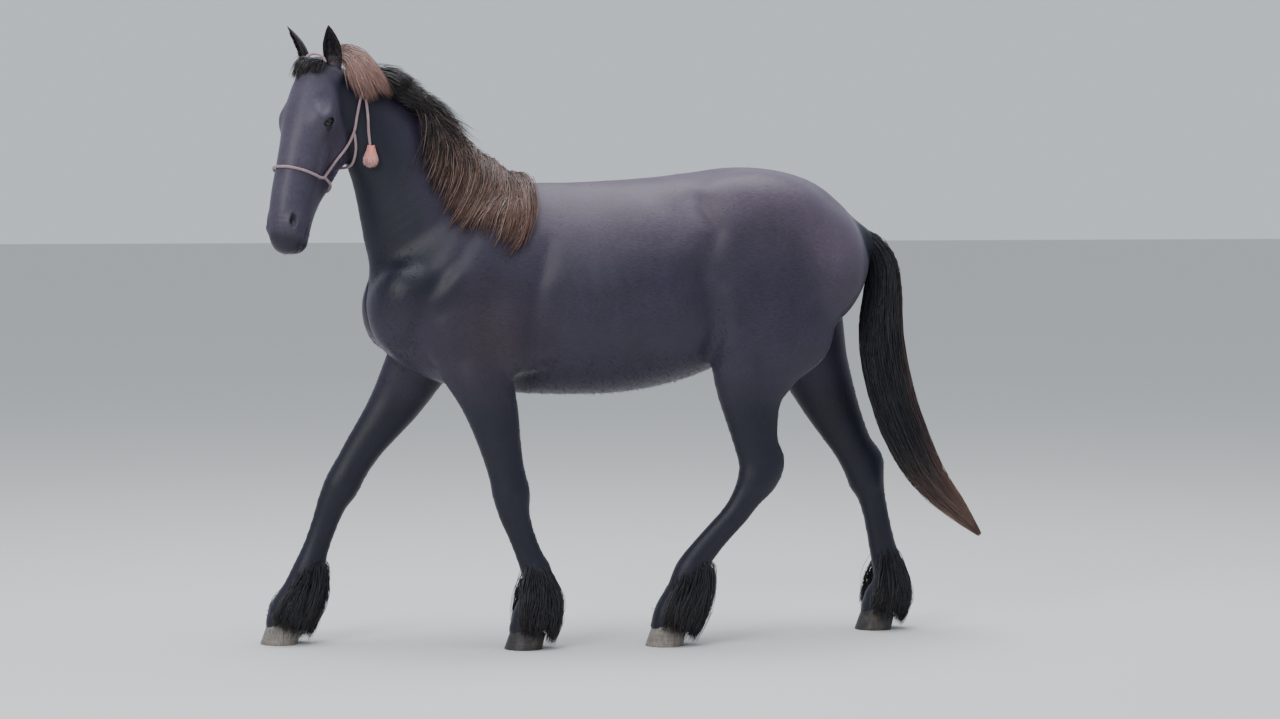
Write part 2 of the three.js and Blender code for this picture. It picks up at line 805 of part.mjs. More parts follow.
// A closed strand of flat section through a path, its flat side facing the given normals
function strand(path, widths, thicknesses, normals) {
  const rings = path.map((p, i) => {
    const run = path[Math.min(i + 1, path.length - 1)].clone().sub(path[Math.max(i - 1, 0)]).normalize();
    const up = normals[i].clone().addScaledVector(run, -normals[i].dot(run)).normalize();
    const across = run.clone().cross(up);
    const w = widths[i] / 2;
    const t = thicknesses[i] / 2;
    return [
      p.clone().addScaledVector(across, w), p.clone().addScaledVector(up, t),
      p.clone().addScaledVector(across, -w), p.clone().addScaledVector(up, -t),
    ];
  });
  return loft(rings);
}

// A lock of hair: a flat strand that widens from its root and tapers to its tip
const lockShape = [[0.6], [1], [0.95], [0.62], [0.1]];

function lock(path, width, thickness, normals, grow = 0) {
  const share = path.map((_, i) => curveRow(lockShape, i / (path.length - 1))[0]);
  const widths = share.map((v) => Math.max(v * width, 2) + grow);
  const thicknesses = share.map((v) => Math.max(v * thickness, 1) + grow);
  return strand(path, widths, thicknesses, normals);
}

// A round rope through points
function rope(points, radius, closed = false, sides = 5) {
  const count = points.length;
  const curve = new THREE.CatmullRomCurve3(points, closed);
  const steps = closed ? count * 2 : (count - 1) * 2;
  const frames = curve.computeFrenetFrames(steps, closed);
  const rings = [];
  for (let i = 0; i <= steps - (closed ? 1 : 0); i += 1) {
    const centre = curve.getPoint(i / steps);
    rings.push(Array.from({ length: sides }, (_, j) => {
      const angle = (2 * Math.PI * j) / sides;
      return centre.clone()
        .addScaledVector(frames.normals[i], radius * Math.cos(angle))
        .addScaledVector(frames.binormals[i], radius * Math.sin(angle));
    }));
  }
  return closed ? ringLoft(rings) : loft(rings);
}

function ringLoft(rings) {
  const sides = rings[0].length;
  const count = rings.length;
  const faces = [];
  for (let i = 0; i < count; i += 1) {
    for (let j = 0; j < sides; j += 1) {
      const a = i * sides + j;
      const b = i * sides + (j + 1) % sides;
      const c = ((i + 1) % count) * sides + j;
      const d = ((i + 1) % count) * sides + (j + 1) % sides;
      faces.push([a, b, c], [b, d, c]);
    }
  }
  return outward(rings.flat(), faces);
}

function material(colour, roughness = 0.75) {
  return new THREE.MeshStandardMaterial({ color: colour, roughness, metalness: 0 });
}

// Whether each edge has two faces once points closer than a ten-thousandth of a millimetre are one
function closesWell(geometry) {
  const { position } = geometry.attributes;
  const names = new Map();
  const point = Array.from({ length: position.count }, (_, i) => {
    const key = [position.getX(i), position.getY(i), position.getZ(i)].map((v) => v.toFixed(4)).join();
    if (!names.has(key)) {
      names.set(key, names.size);
    }
    return names.get(key);
  });
  const uses = new Map();
  const index = geometry.index.array;
  for (let i = 0; i < index.length; i += 3) {
    const face = [0, 1, 2].map((k) => point[index[i + k]]);
    if (new Set(face).size === 3) {
      face.forEach((a, k) => {
        const b = face[(k + 1) % 3];
        const key = a < b ? `${a}_${b}` : `${b}_${a}`;
        uses.set(key, (uses.get(key) ?? 0) + 1);
      });
    }
  }
  return [...uses.values()].every((count) => count === 2);
}

// Closes up facets that are too small to see, by the first measure that leaves a sound skin
function cleanGeometry(solid) {
  const tries = finestDetails.map((size) => toGeometry(solid.asOriginal().simplify(size)));
  return tries.find(closesWell) ?? tries[0];
}

const model = new THREE.Group();

function addNode(name, solid, colour, roughness) {
  const mesh = new THREE.Mesh(cleanGeometry(largest(solid)), material(colour, roughness));
  mesh.name = name;
  model.add(mesh);
}

// Flesh in a box, thinned to a number of triangles
function fleshIn(low, high, step, triangles) {
  return solidFromMesh(thin(meshField(body, vec(...low), vec(...high), step), triangles));
}

// Cuts between the pieces
const pollNormal = vec(0, 0, 0).addScaledVector(head.x, -0.57).addScaledVector(head.z, -0.82);
const pollCut = { at: place(head, -5, 0, -140), normal: pollNormal };
const throatCut = { at: vec(-785, 0, 1455), normal: vec(0.85, 0, -0.53) };
const withersCut = { at: vec(-205, 0, 1470), normal: vec(0.551, 0, -0.835) };
const backTo = (cut) => ({ at: cut.at, normal: cut.normal.clone().negate() });
const beyondCut = (cut) => beyond(cut.at.toArray(), cut.normal.toArray());

// The room that a leg takes below its slanted top cut, raised or lowered by a little
function legRoom(name, lift) {
  const { side, top, topSlope, range } = legs[name];
  const ySides = [Math.sign(side) * 8, Math.sign(side) * 400];
  const corners = [[0, 0], [1, 0], [1, 1], [0, 1]];
  const ring = (height) => corners.map(([i, j]) => vec(range[i], ySides[j], height(range[i])));
  return loft([ring(() => -100), ring((x) => top + topSlope * (x - 250) + lift)]);
}

// Hooves
const hoof = {
  length: 62, width: 60, topLength: 52, topWidth: 51, topShift: 18, toeHeight: 78, heelHeight: 46,
};
const coronetSlope = (hoof.heelHeight - hoof.toeHeight) / (2 * hoof.topLength);

function hoofSolid(name, grow = 0) {
  const { side, hoof: x } = legs[name];
  const outline = (length, width, shift, height) => Array.from({ length: 20 }, (_, i) => {
    const angle = (2 * Math.PI * i) / 20;
    const rear = Math.cos(angle) > 0 ? 0.92 : 1;
    const dx = (length + grow) * Math.cos(angle) * rear + shift;
    return vec(x + dx, side + (width + grow) * Math.sin(angle), height(dx));
  });
  const coronet = (dx) => (hoof.toeHeight + hoof.heelHeight) / 2 + coronetSlope * (dx - hoof.topShift);
  return loft([
    outline(hoof.length, hoof.width, 0, () => (grow ? -5 : 0)),
    outline(hoof.length - 2, hoof.width - 1, 1, () => 6),
    outline(hoof.topLength + 3, hoof.topWidth + 3, hoof.topShift - 3, (dx) => coronet(dx) - 12),
    outline(hoof.topLength, hoof.topWidth, hoof.topShift, (dx) => (
      coronet(dx) - gap / 2 + (grow ? 5 : 0)
    )),
  ]);
}

function coronetCut(name) {
  const { side, hoof: x } = legs[name];
  const middle = (hoof.toeHeight + hoof.heelHeight) / 2;
  return { at: vec(x + hoof.topShift, side, middle), normal: vec(coronetSlope, 0, -1) };
}

// Feather: locks from the back and sides of the fetlock and pastern, down round the hoof
const feather = { count: 11, spread: 118, highest: 236, lowest: 118, width: 44, thickness: 11 };

function pasternAt(name, z) {
  const { side, stations } = legs[name];
  const i = Math.max(stations.findIndex((row) => row[1] <= z), 1);
  const [a, b] = [stations[i - 1], stations[i]];
  const t = clamp((a[1] - z) / (a[1] - b[1]), 0, 1);
  const [x, , w, back] = a.map((value, k) => mix(value, b[k], t));
  return { at: vec(x, side, z), w, back };
}

function featherLocks(name) {
  const random = randomSource(41 + Object.keys(legs).indexOf(name));
  const { side, hoof: x } = legs[name];
  return Array.from({ length: feather.count }, (_, i) => {
    const angle = radians(mix(-feather.spread, feather.spread, (i + 0.5) / feather.count));
    const around = vec(Math.cos(angle), Math.sin(angle), 0);
    const layer = (i * 5) % 3;
    const top = mix(feather.highest, feather.lowest, (layer + random()) / 3);
    const { at, w, back } = pasternAt(name, top);
    const reach = Math.hypot(Math.cos(angle) * back, Math.sin(angle) * w);
    const flare = 10 + 10 * Math.cos(angle) + 12 * random();
    const ground = vec(x + 10, side, 0);
    const radius = hoof.length + 10 + layer * 5;
    const foot = mix(14, 46, random());
    const path = [
      at.clone().addScaledVector(around, reach - 14),
      at.clone().addScaledVector(around, reach + 12 + layer * 4).setZ(top - 22),
      at.clone().lerp(ground, 0.5).addScaledVector(around, radius + flare * 0.6).setZ(mix(top, foot, 0.55)),
      ground.clone().addScaledVector(around, radius + flare).setZ(foot),
    ];
    const width = mix(0.85, 1.15, random()) * feather.width;
    return lock(path, width, feather.thickness, path.map(() => around));
  });
}

for (const name of Object.keys(legs)) {
  const { side, stations, top } = legs[name];
  const xs = stations.map((row) => row[0]);
  const low = [Math.min(...xs) - 140, side - 115, 10];
  const high = [Math.max(...xs) + 140, side + 115, top + 240];
  const room = legRoom(name, -gap / 2);
  let solid = fleshIn(low, high, 9, 760).intersect(room).subtract(beyondCut(coronetCut(name)));
  solid = wasm.Manifold.union([solid, ...featherLocks(name)]).subtract(hoofSolid(name, gap));
  addNode(`leg_${name}`, solid, legColour);
  const pale = name === 'fore_right' || name === 'hind_left';
  addNode(`hoof_${name}`, hoofSolid(name), pale ? hornColour : darkHornColour, 0.6);
}

// Torso
let torso = fleshIn([-800, -340, 700], [880, 340, 1560], 15, 2300)
  .subtract(beyondCut(backTo(withersCut)));
for (const name of Object.keys(legs)) {
  torso = torso.subtract(legRoom(name, gap / 2));
}

// Tail
const dock = [[770, 1284, 40], [830, 1272, 36], [888, 1222, 30], [916, 1130, 25], [926, 1010, 18]];

function dockSolid(grow = 0) {
  const sides = 14;
  return loft(dock.map(([x, z, r], i) => {
    const a = dock[Math.max(i - 1, 0)];
    const b = dock[Math.min(i + 1, dock.length - 1)];
    const run = vec(b[0] - a[0], 0, b[1] - a[1]).normalize();
    const out = run.clone().cross(vec(0, 1, 0));
    const back = i === 0 ? -grow * 2 : 0;
    return Array.from({ length: sides }, (_, j) => {
      const angle = (2 * Math.PI * j) / sides;
      return vec(x, 0, z).addScaledVector(run, back)
        .addScaledVector(vec(0, 1, 0), (r + grow) * Math.cos(angle))
        .addScaledVector(out, (r + grow) * Math.sin(angle));
    });
  }));
}

// Tail hair: the middle of the bundle and its half width, from the dock to the tip
const tailWay = [
  [874, 1242, 22], [924, 1176, 46], [916, 1080, 60], [908, 960, 68], [935, 800, 70],
  [990, 640, 68], [1065, 500, 56], [1160, 395, 36], [1240, 310, 8],
];
const tailLocks = { around: 7, width: 56, thickness: 12, shells: [0.86, 0.6], coreEnd: 0.5 };

function tailPlace(t, angle, share) {
  const [x, z, r] = curveRow(tailWay, t);
  const [x2, z2] = curveRow(tailWay, t + 0.02);
  const [x1, z1] = curveRow(tailWay, t - 0.02);
  const out = vec(x2 - x1, 0, z2 - z1).normalize().cross(vec(0, 1, 0));
  return vec(x, 0, z)
    .addScaledVector(out, share * r * Math.sin(angle))
    .addScaledVector(vec(0, 1, 0), share * r * Math.cos(angle));
}

// Two shells of locks: those below show between those above
function tailHair() {
  const random = randomSource(7);
  const steps = [0, 0.15, 0.4, 0.62, 0.82, 1];
  const { around, width, thickness, shells } = tailLocks;
  return shells.flatMap((shell, layer) => Array.from({ length: around }, (_, i) => {
    const angle = (2 * Math.PI * (i + layer / 2)) / around;
    const from = 0.03 + 0.09 * ((i * 4 + layer * 2) % 4);
    const to = mix(0.84, 1, random());
    const places = steps.map((u) => mix(from, to, u));
    const path = places.map((t, k) => tailPlace(t, angle, k === 0 ? 0.12 : shell));
    const normals = path.map((p, k) => p.clone().sub(tailPlace(places[k], 0, 0)));
    return lock(path, mix(0.9, 1.05, random()) * width, thickness, normals);
  }));
}

function tailCore() {
  const steps = [0, 0.12, 0.25, 0.38, tailLocks.coreEnd];
  const path = steps.map((t) => tailPlace(t, 0, 0));
  const widths = steps.map((t, i) => curveRow(tailWay, t)[2] * [0.9, 1, 1, 0.8, 0.3][i]);
  return strand(path, widths, widths, path.map(() => vec(0, 1, 0)));
}
addNode('torso', torso.subtract(dockSolid(gap)), coatColour);
addNode('tail', wasm.Manifold.union([dockSolid(), tailCore(), ...tailHair()]), neckColour);

// Neck
const neckBox = [[-900, -200, 1040], [-150, 200, 1860]];
const headRoom = beyondCut(backTo(pollCut)).intersect(beyondCut(backTo(throatCut)));
let neckSolid = fleshIn(...neckBox, 13, 640).subtract(headRoom).subtract(beyondCut(withersCut));

function neckRing(t) {
  const { rings } = flesh.neck[0];
  const share = clamp(t, 0, 1) * (rings.length - 1);
  const i = Math.min(Math.floor(share), rings.length - 2);
  const [a, b] = [rings[i], rings[i + 1]];
  const between = (key) => a[key].clone().lerp(b[key], share - i);
  return {
    at: between('at'),
    side: between('side'),
    high: between('high'),
    w: mix(a.w, b.w, share - i),
    up: mix(a.up, b.up, share - i),
  };
}

// A point over the neck: t runs from the poll to the chest, turn is the angle from the crest down
// the left side, height is above the skin
function overNeck(t, turn, height) {
  const ring = neckRing(t);
  const p = ring.at.clone()
    .addScaledVector(ring.high, ring.up * Math.cos(radians(turn)))
    .addScaledVector(ring.side, -ring.w * Math.sin(radians(turn)));
  return settle(upper, p, height);
}

// The ways of the mane's locks from their roots: step along the neck, turn and height.
// Those in front blow back along the crest, those behind hang over the left shoulder.
const maneWays = {
  front: [[0, 0, -22], [0.03, 1, 32], [0.075, 3, 54], [0.13, 6, 74], [0.19, 10, 92]],
  rear: [[0, 0, -22], [0.02, 8, 44], [0.055, 28, 48], [0.1, 52, 30], [0.14, 76, 18]],
  last: [[0, 0, -22], [0.03, 6, 34], [0.075, 22, 40], [0.12, 44, 28], [0.15, 66, 18]],
};
const mane = { first: 0.125, last: 0.7, count: 22, width: 62, thickness: 9 };

function wayLock(t, way, size, random) {
  const reach = mix(0.9, 1.1, random());
  const lean = 5 * (random() - 0.5);
  const lift = mix(0.97, 1.03, random());
  const path = way.map(([step, turn, height]) => overNeck(
    t + step * reach, turn + lean, height > 0 ? height * lift : height,
  ));
  const width = size * mix(0.85, 1.15, random());
  return lock(path, width, mane.thickness, path.map((p) => fieldNormal(upper, p)));
}

function maneLocks() {
  const random = randomSource(12);
  return Array.from({ length: mane.count }, (_, i) => {
    const t = mix(mane.first, mane.last, (i + 0.6 * random()) / mane.count);
    const hang = THREE.MathUtils.smoothstep(t, 0.32, 0.48);
    const layer = i % 2;
    const end = THREE.MathUtils.smoothstep(t, 0.58, 0.7);
    const way = maneWays.front.map((row, k) => row.map((value, n) => mix(
      mix(value, maneWays.rear[k][n], hang), maneWays.last[k][n], end,
    )));
    way.slice(1).forEach((row) => {
      row[1] += layer * 5;
      row[2] += layer * 13 * hang;
    });
    return wayLock(t, way, mane.width, random);
  });
}
neckSolid = wasm.Manifold.union([neckSolid, ...maneLocks()]);

// Head
const headBox = new THREE.Box3();
flesh.head.filter((shape) => shape.kind === 'tube').forEach((shape) => headBox.union(shapeBounds(shape, 0)));
headBox.expandByScalar(120);
headBox.max.x += 60;
headBox.max.y += 60;
let headSolid = fleshIn(headBox.min.toArray(), headBox.max.toArray(), 6, 2000)
  .subtract(beyondCut(pollCut)).subtract(beyondCut(throatCut));

function earSolid(side, grow = 0) {
  const base = place(head, 20, side * 54, -74);
  const tip = place(head, -88, side * 80, 36);
  const up = tip.clone().sub(base).normalize();
  const open = vec(0, 0, 0).addScaledVector(head.x, 0.2)
    .addScaledVector(head.y, side * 0.5).addScaledVector(head.z, 0.84);
  open.addScaledVector(up, -open.dot(up)).normalize();
  const across = up.clone().cross(open);
  const rows = [
    [0, 21, 19, -17], [0.12, 24, 20, -13], [0.22, 26, 21, -5], [0.32, 28, 21, 5],
    [0.45, 28.5, 19, 12], [0.6, 26, 16, 11.5], [0.74, 19, 12, 8.5], [0.88, 11, 7, 4.5],
    [0.96, 4.5, 3.5, 1.5], [1, 1, 1, 0.2],
  ];
  const length = base.distanceTo(tip);
  return loft(rows.map(([v, w, back, hollow]) => {
    const rise = v === 0 ? -2 * grow : v * length;
    const centre = base.clone().addScaledVector(up, rise).addScaledVector(open, -10 * Math.sin(Math.PI * v));
    const inner = grow ? -back : hollow;
    const point = (angle, depth) => centre.clone()
      .addScaledVector(across, (w + grow) * Math.cos(angle))
      .addScaledVector(open, -(depth + Math.sign(depth) * grow) * Math.sin(angle));
    const outer = Array.from({ length: 9 }, (_, j) => point((Math.PI * j) / 8, back));
    const cup = Array.from({ length: 7 }, (_, j) => point((Math.PI * (7 - j)) / 8, inner));
    return [...outer, ...cup];
  }));
}

function sphereAt(centre, radius, detail) {
  const ball = new THREE.IcosahedronGeometry(radius, detail);
  ball.translate(...centre.toArray());
  return toSolid(ball);
}

// Forelock: locks from between the ears that fall over the right side of the forehead
const forelockWays = [
  [[4, 14, -26], [-8, 8, 22], [22, -4, 20], [62, -18, 12]],
  [[6, 4, -28], [-10, -4, 26], [26, -22, 22], [74, -40, 12]],
  [[8, -6, -28], [-8, -16, 24], [28, -38, 22], [80, -60, 14]],
  [[10, -14, -30], [-4, -26, 18], [30, -52, 18], [76, -76, 14]],
  [[14, 18, -24], [2, 20, 16], [32, 12, 14], [70, 6, 9]],
  [[16, -2, -26], [6, -8, 16], [44, -20, 13], [96, -36, 9]],
];

function forelock() {
  return forelockWays.map((way) => {
    const path = way.map(([l, s, h], i) => (
      i === 0 ? place(head, l, s, h) : settle(upper, place(head, l, s, 10), h)
    ));
    const facing = path.map((_, i) => head.x.clone().negate().lerp(head.z, clamp(i / 2, 0, 1)));
    return lock(path, 34, 10, facing);
  });
}

// Tuft: locks from the poll behind the ears, blown up and over to the left
const tuftWay = [[-6, 14, -86], [-58, 36, -94], [-38, 76, -118], [2, 106, -138], [42, 132, -164]];
const tuftShifts = [[0, 0, 0], [8, -6, -16], [-10, 8, 6], [4, 10, -26]];

function tuft(grow = 0) {
  const facing = head.y.clone().sub(head.x).addScaledVector(head.z, 0.3);
  return tuftShifts.map((shift) => {
    const path = tuftWay.map((row, i) => (
      place(head, ...row.map((value, k) => value + shift[k] * Math.sqrt(i)))
    ));
    return lock(path, 34, 8, path.map(() => facing), grow);
  });
}
headSolid = wasm.Manifold.union([headSolid, ...forelock(), ...tuft()]);

const sides = { left: 1, right: -1 };
for (const [name, side] of Object.entries(sides)) {
  const [l, s, d] = eyeCentre;
  const centre = place(head, l, side * s, d);
  const opening = new THREE.SphereGeometry(1, 16, 8);
  opening.scale(23, 19, 14);
  opening.rotateY(radians(eyeTilt));
  opening.applyMatrix4(new THREE.Matrix4().makeBasis(head.x, head.y, head.z));
  opening.translate(...place(head, l, side * (s + 23), d).toArray());
  headSolid = headSolid.subtract(toSolid(opening))
    .subtract(sphereAt(centre, eyeRadius + 2 * gap, 2))
    .subtract(earSolid(side, gap));
  addNode(`eye_${name}`, sphereAt(centre, eyeRadius, 2), eyeColour, 0.1);
  addNode(`ear_${name}`, earSolid(side), coatColour);
}

// Rope halter: the pieces lie on the coat
const rest = ropeRadius + 3;
const onSkin = (points) => points.map(([l, s, d]) => settle(upper, place(head, along(l), s, d), rest));
const noseLoop = onSkin([
  [365, 0, 5], [364, 32, 0], [362, 58, -34], [359, 62, -76], [352, 58, -114], [344, 52, -148],
  [350, 38, -196], [356, 0, -218], [350, -38, -196], [344, -52, -148], [352, -58, -114],
  [359, -62, -76], [362, -58, -34], [364, -32, 0],
]);
const noseband = (grow = 0) => rope(noseLoop, ropeRadius + grow, true);
const leftCheek = [
  [344, 54, -142], [310, 56, -158], [276, 64, -166], [242, 70, -180], [206, 78, -190],
  [166, 90, -186], [127, 97, -172], [80, 98, -164], [34, 80, -176], [0, 44, -178],
];
const mirrored = leftCheek.map(([l, s, d]) => [l, -s, d]).reverse();
const cheekPath = onSkin([...leftCheek, [-8, 0, -172], ...mirrored]);
const cheeks = (grow = 0) => rope(cheekPath, ropeRadius + grow);
const throatPath = onSkin([
  [176, 88, -192], [214, 82, -226], [252, 60, -252], [266, 0, -262],
  [252, -60, -252], [214, -82, -226], [176, -88, -192],
]);
const throat = (grow = 0) => rope(throatPath, ropeRadius + grow);
const tiePath = [[-732, 1706], [-737, 1650], [-741, 1584], [-742, 1530]]
  .map(([x, z]) => settle(upper, vec(x, -150, z), rest + 1));
const tassel = (grow = 0) => {
  const foot = tiePath[tiePath.length - 1];
  const rows = [[0, 14, 13, 12], [0, -2, 22, 16], [-1, -26, 40, 16], [-2, -58, 34, 12]];
  const path = rows.map(([x, z]) => foot.clone().add(vec(x, -7, z)));
  const widths = rows.map((row) => row[2] + grow);
  const thicknesses = rows.map((row) => row[3] + grow);
  return strand(path, widths, thicknesses, path.map(() => vec(0, -1, 0)));
};
const tie = (grow = 0) => rope(tiePath, ropeRadius + grow).add(tassel(2 * grow));
addNode('halter_noseband', noseband(), ropeColour);
addNode('halter_cheeks', cheeks().subtract(noseband(gap)), ropeColour);
addNode('halter_throat', throat().subtract(cheeks(gap)), ropeColour);
addNode('halter_tie', tie().subtract(cheeks(gap)), tasselColour);
const halterRoom = noseband(gap).add(cheeks(gap)).add(throat(gap)).add(tie(gap));
const tuftRoom = wasm.Manifold.union(tuft(8 * gap));
addNode('neck', neckSolid.subtract(halterRoom).subtract(tuftRoom), neckColour);
addNode('head', headSolid.subtract(halterRoom), coatColour);

const bounds = new THREE.Box3().setFromObject(model);
const middle = bounds.getCenter(vec(0, 0, 0));
model.children.forEach((mesh) => mesh.position.set(-middle.x, -middle.y, -bounds.min.z));

export default model;
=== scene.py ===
import math

import bpy
import numpy as np
from mathutils import Matrix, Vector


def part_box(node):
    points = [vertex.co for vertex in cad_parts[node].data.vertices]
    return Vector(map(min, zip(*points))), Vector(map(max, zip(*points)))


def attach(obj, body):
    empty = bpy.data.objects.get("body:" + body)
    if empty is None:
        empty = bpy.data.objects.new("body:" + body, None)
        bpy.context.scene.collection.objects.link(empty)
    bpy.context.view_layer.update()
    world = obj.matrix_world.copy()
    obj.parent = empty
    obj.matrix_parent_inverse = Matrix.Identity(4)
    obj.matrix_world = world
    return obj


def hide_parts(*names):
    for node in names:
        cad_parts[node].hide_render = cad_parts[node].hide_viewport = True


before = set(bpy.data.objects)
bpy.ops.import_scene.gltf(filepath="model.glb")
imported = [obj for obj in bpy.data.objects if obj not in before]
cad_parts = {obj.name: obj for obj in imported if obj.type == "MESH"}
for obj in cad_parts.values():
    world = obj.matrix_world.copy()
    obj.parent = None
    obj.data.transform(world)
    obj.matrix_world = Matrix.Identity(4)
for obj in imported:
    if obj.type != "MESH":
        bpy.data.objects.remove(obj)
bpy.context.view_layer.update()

HEAD_LENGTH = 588
HEAD_YAW = math.radians(45)
HEAD_PITCH = math.radians(21.5)
POLL = np.array([-926.0, -115.0, 1821.0])
EYE_RADIUS = 20.8
WITHERS = 1440
CROUP = 1490
ROPE_RADIUS = 4.5
SKIN_STEP = 10.8
SKIN_LOW, SKIN_HIGH = np.array([-1130.0, -345.0, 8.0]), np.array([1030.0, 345.0, 1890.0])
SMOOTH_ROUNDS = 11


def unit(v):
    return v / np.maximum(np.linalg.norm(v, axis=-1, keepdims=True), 1e-9)


def mix(a, b, t):
    return a + (b - a) * t


def ease(t, low, high):
    """0 at low, 1 at high, and smooth between."""
    t = np.clip((t - low) / (high - low), 0, 1)
    return t * t * (3 - 2 * t)


def steps(count):
    """Even shares from 0 to 1."""
    return np.arange(count) / (count - 1)


def round_angles(count):
    """Even angles round a full turn."""
    return np.arange(count) / count * 2 * np.pi


class Axes:
    """A place and three directions."""

    def __init__(self, origin, x, y, z):
        self.origin, self.x, self.y, self.z = (np.array(v, float) for v in (origin, x, y, z))

    def place(self, x, y, z):
        x, y, z = (np.asarray(v, float)[..., None] for v in (x, y, z))
        return self.origin + x * self.x + y * self.y + z * self.z

    def inside(self, points):
        p = points - self.origin
        return p @ self.x, p @ self.y, p @ self.z


def head_axes():
    ahead = np.array([-math.cos(HEAD_YAW), -math.sin(HEAD_YAW), 0])
    up = np.array([0, 0, 1.0])
    x = ahead * math.sin(HEAD_PITCH) - up * math.cos(HEAD_PITCH)
    z = ahead * math.cos(HEAD_PITCH) + up * math.sin(HEAD_PITCH)
    return Axes(POLL, x, np.cross(z, x), z)


world_axes = Axes([0, 0, 0], [1, 0, 0], [0, 1, 0], [0, 0, 1])
head = head_axes()


def along(length):
    return length * HEAD_LENGTH / 600


EYE = (along(191), 72, -66)
LID_TILT = -54


def eye_centre(side):
    return head.place(EYE[0], side * EYE[1], EYE[2])


# The model's frame is found from the place of the left eye, in metres there
low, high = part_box("eye_left")
SHIFT = (np.array(low) + np.array(high)) * 500 - eye_centre(1)


def to_model(points):
    return (points + SHIFT) * 0.001


# The camera stands where the photograph was taken from
LENS, SENSOR_WIDTH, FAR_CLIP = 108, 36, 120
CAMERA_PLACE = np.array([-2289.708, -11779.526, 1500.0])
CAMERA_HEADING = math.radians(11.5968)
CAMERA_PITCH = math.radians(2.9323)


def add_camera():
    data = bpy.data.cameras.new("camera")
    data.lens, data.sensor_width, data.clip_end = LENS, SENSOR_WIDTH, FAR_CLIP
    camera = bpy.data.objects.new("camera", data)
    bpy.context.scene.collection.objects.link(camera)
    sine, cosine, flat = math.sin(CAMERA_HEADING), math.cos(CAMERA_HEADING), math.cos(CAMERA_PITCH)
    ahead = np.array([sine * flat, cosine * flat, -math.sin(CAMERA_PITCH)])
    right = np.array([cosine, -sine, 0])
    turn = Matrix(np.column_stack([right, np.cross(right, ahead), -ahead]).tolist()).to_4x4()
    camera.matrix_world = Matrix.Translation(to_model(CAMERA_PLACE).tolist()) @ turn
    bpy.context.scene.camera = camera


add_camera()


def curve(rows, t):
    """Smooth curve through rows of numbers, t from 0 to 1."""
    rows = np.asarray(rows, float)
    last = len(rows) - 1
    place = np.clip(np.asarray(t, float), 0, 1) * last
    i = np.minimum(place.astype(int), last - 1)
    u = (place - i)[..., None]
    before, a = rows[np.maximum(i - 1, 0)], rows[i]
    b, after = rows[i + 1], rows[np.minimum(i + 2, last)]
    return ((2 * u**3 - 3 * u**2 + 1) * a + (u**3 - 2 * u**2 + u) * (b - before) / 2
            + (3 * u**2 - 2 * u**3) * b + (u**3 - u**2) * (after - a) / 2)


# The flesh is one field of tubes, muscles and hollows, negative inside. FAR is its value away from
# every shape, and a tube's end is rounded over CAP times its smallest radius.
FAR = 1000
CAP = 0.8


class Tube:
    """A tube through stations x, y, z, half width, radius up, radius down and squareness."""

    hollow = False

    def __init__(self, axes, blend, stations, pieces=4):
        rows = [[*axes.place(*s[:3]), *s[3:6], s[6] if len(s) > 6 else 2.0] for s in stations]
        count = (len(rows) - 1) * pieces
        rings = curve(rows, np.arange(count + 1) / count)
        self.blend, self.at, self.size = blend, rings[:, :3], rings[:, 3:]
        steps = np.arange(count + 1)
        self.run = unit(self.at[np.minimum(steps + 1, count)] - self.at[np.maximum(steps - 1, 0)])
        self.side = unit(axes.y - self.run * (self.run @ axes.y)[:, None])
        self.high = np.cross(self.run, self.side)

    def piece_box(self, i, reach):
        ends = []
        for k in (i, i + 1):
            w, up, down = self.size[k, :3]
            cap = CAP * min(w, up, down)
            ends += [self.at[k] + s * w * self.side[k] + v * self.high[k]
                     for s in (-1, 1) for v in (up, -down)]
            ends += [self.at[k] + s * cap * self.run[k] for s in (-1, 1)]
        return np.min(ends, axis=0) - reach, np.max(ends, axis=0) + reach

    def pieces(self, reach):
        return [(self.piece_box(i, reach), i) for i in range(len(self.at) - 1)]

    def distance(self, i, x, y, z):
        def dot(axis, ox, oy, oz):
            return ox * axis[0] + oy * axis[1] + oz * axis[2]

        a, b = self.at[i].astype(np.float32), self.at[i + 1].astype(np.float32)
        start = dot(self.run[i].astype(np.float32), x - a[0], y - a[1], z - a[2])
        end = dot(self.run[i + 1].astype(np.float32), x - b[0], y - b[1], z - b[2])
        between = (start > 0) & (end < 0)
        t = np.where(between, start / np.where(between, start - end, 1), np.where(start <= 0, 0, 1))
        c = np.where(between, 0, np.where(start <= 0, start, end))
        ox, oy, oz = (v - mix(a[k], b[k], t) for k, v in enumerate((x, y, z)))

        def across(axes):
            p, q = axes[i].astype(np.float32), axes[i + 1].astype(np.float32)
            return sum(o * mix(p[k], q[k], t) for k, o in enumerate((ox, oy, oz)))

        s, h = across(self.side), across(self.high)
        w, up, down, power = (mix(np.float32(p), np.float32(q), t)
                              for p, q in zip(self.size[i], self.size[i + 1]))
        radius = np.where(h > 0, up, down)
        if max(abs(self.size[i, 3] - 2), abs(self.size[i + 1, 3] - 2)) > 1e-6:
            power = np.where(h > 0, power, 2)
            flat = (np.abs(s / w) ** power + np.abs(h / radius) ** power) ** (1 / power)
        else:
            flat = np.hypot(s / w, h / radius)
        cap = CAP * np.minimum(w, np.minimum(up, down))
        q = np.hypot(flat, c / cap)
        return np.sqrt(s * s + h * h + c * c) * (1 - 1 / np.maximum(q, 1e-4))


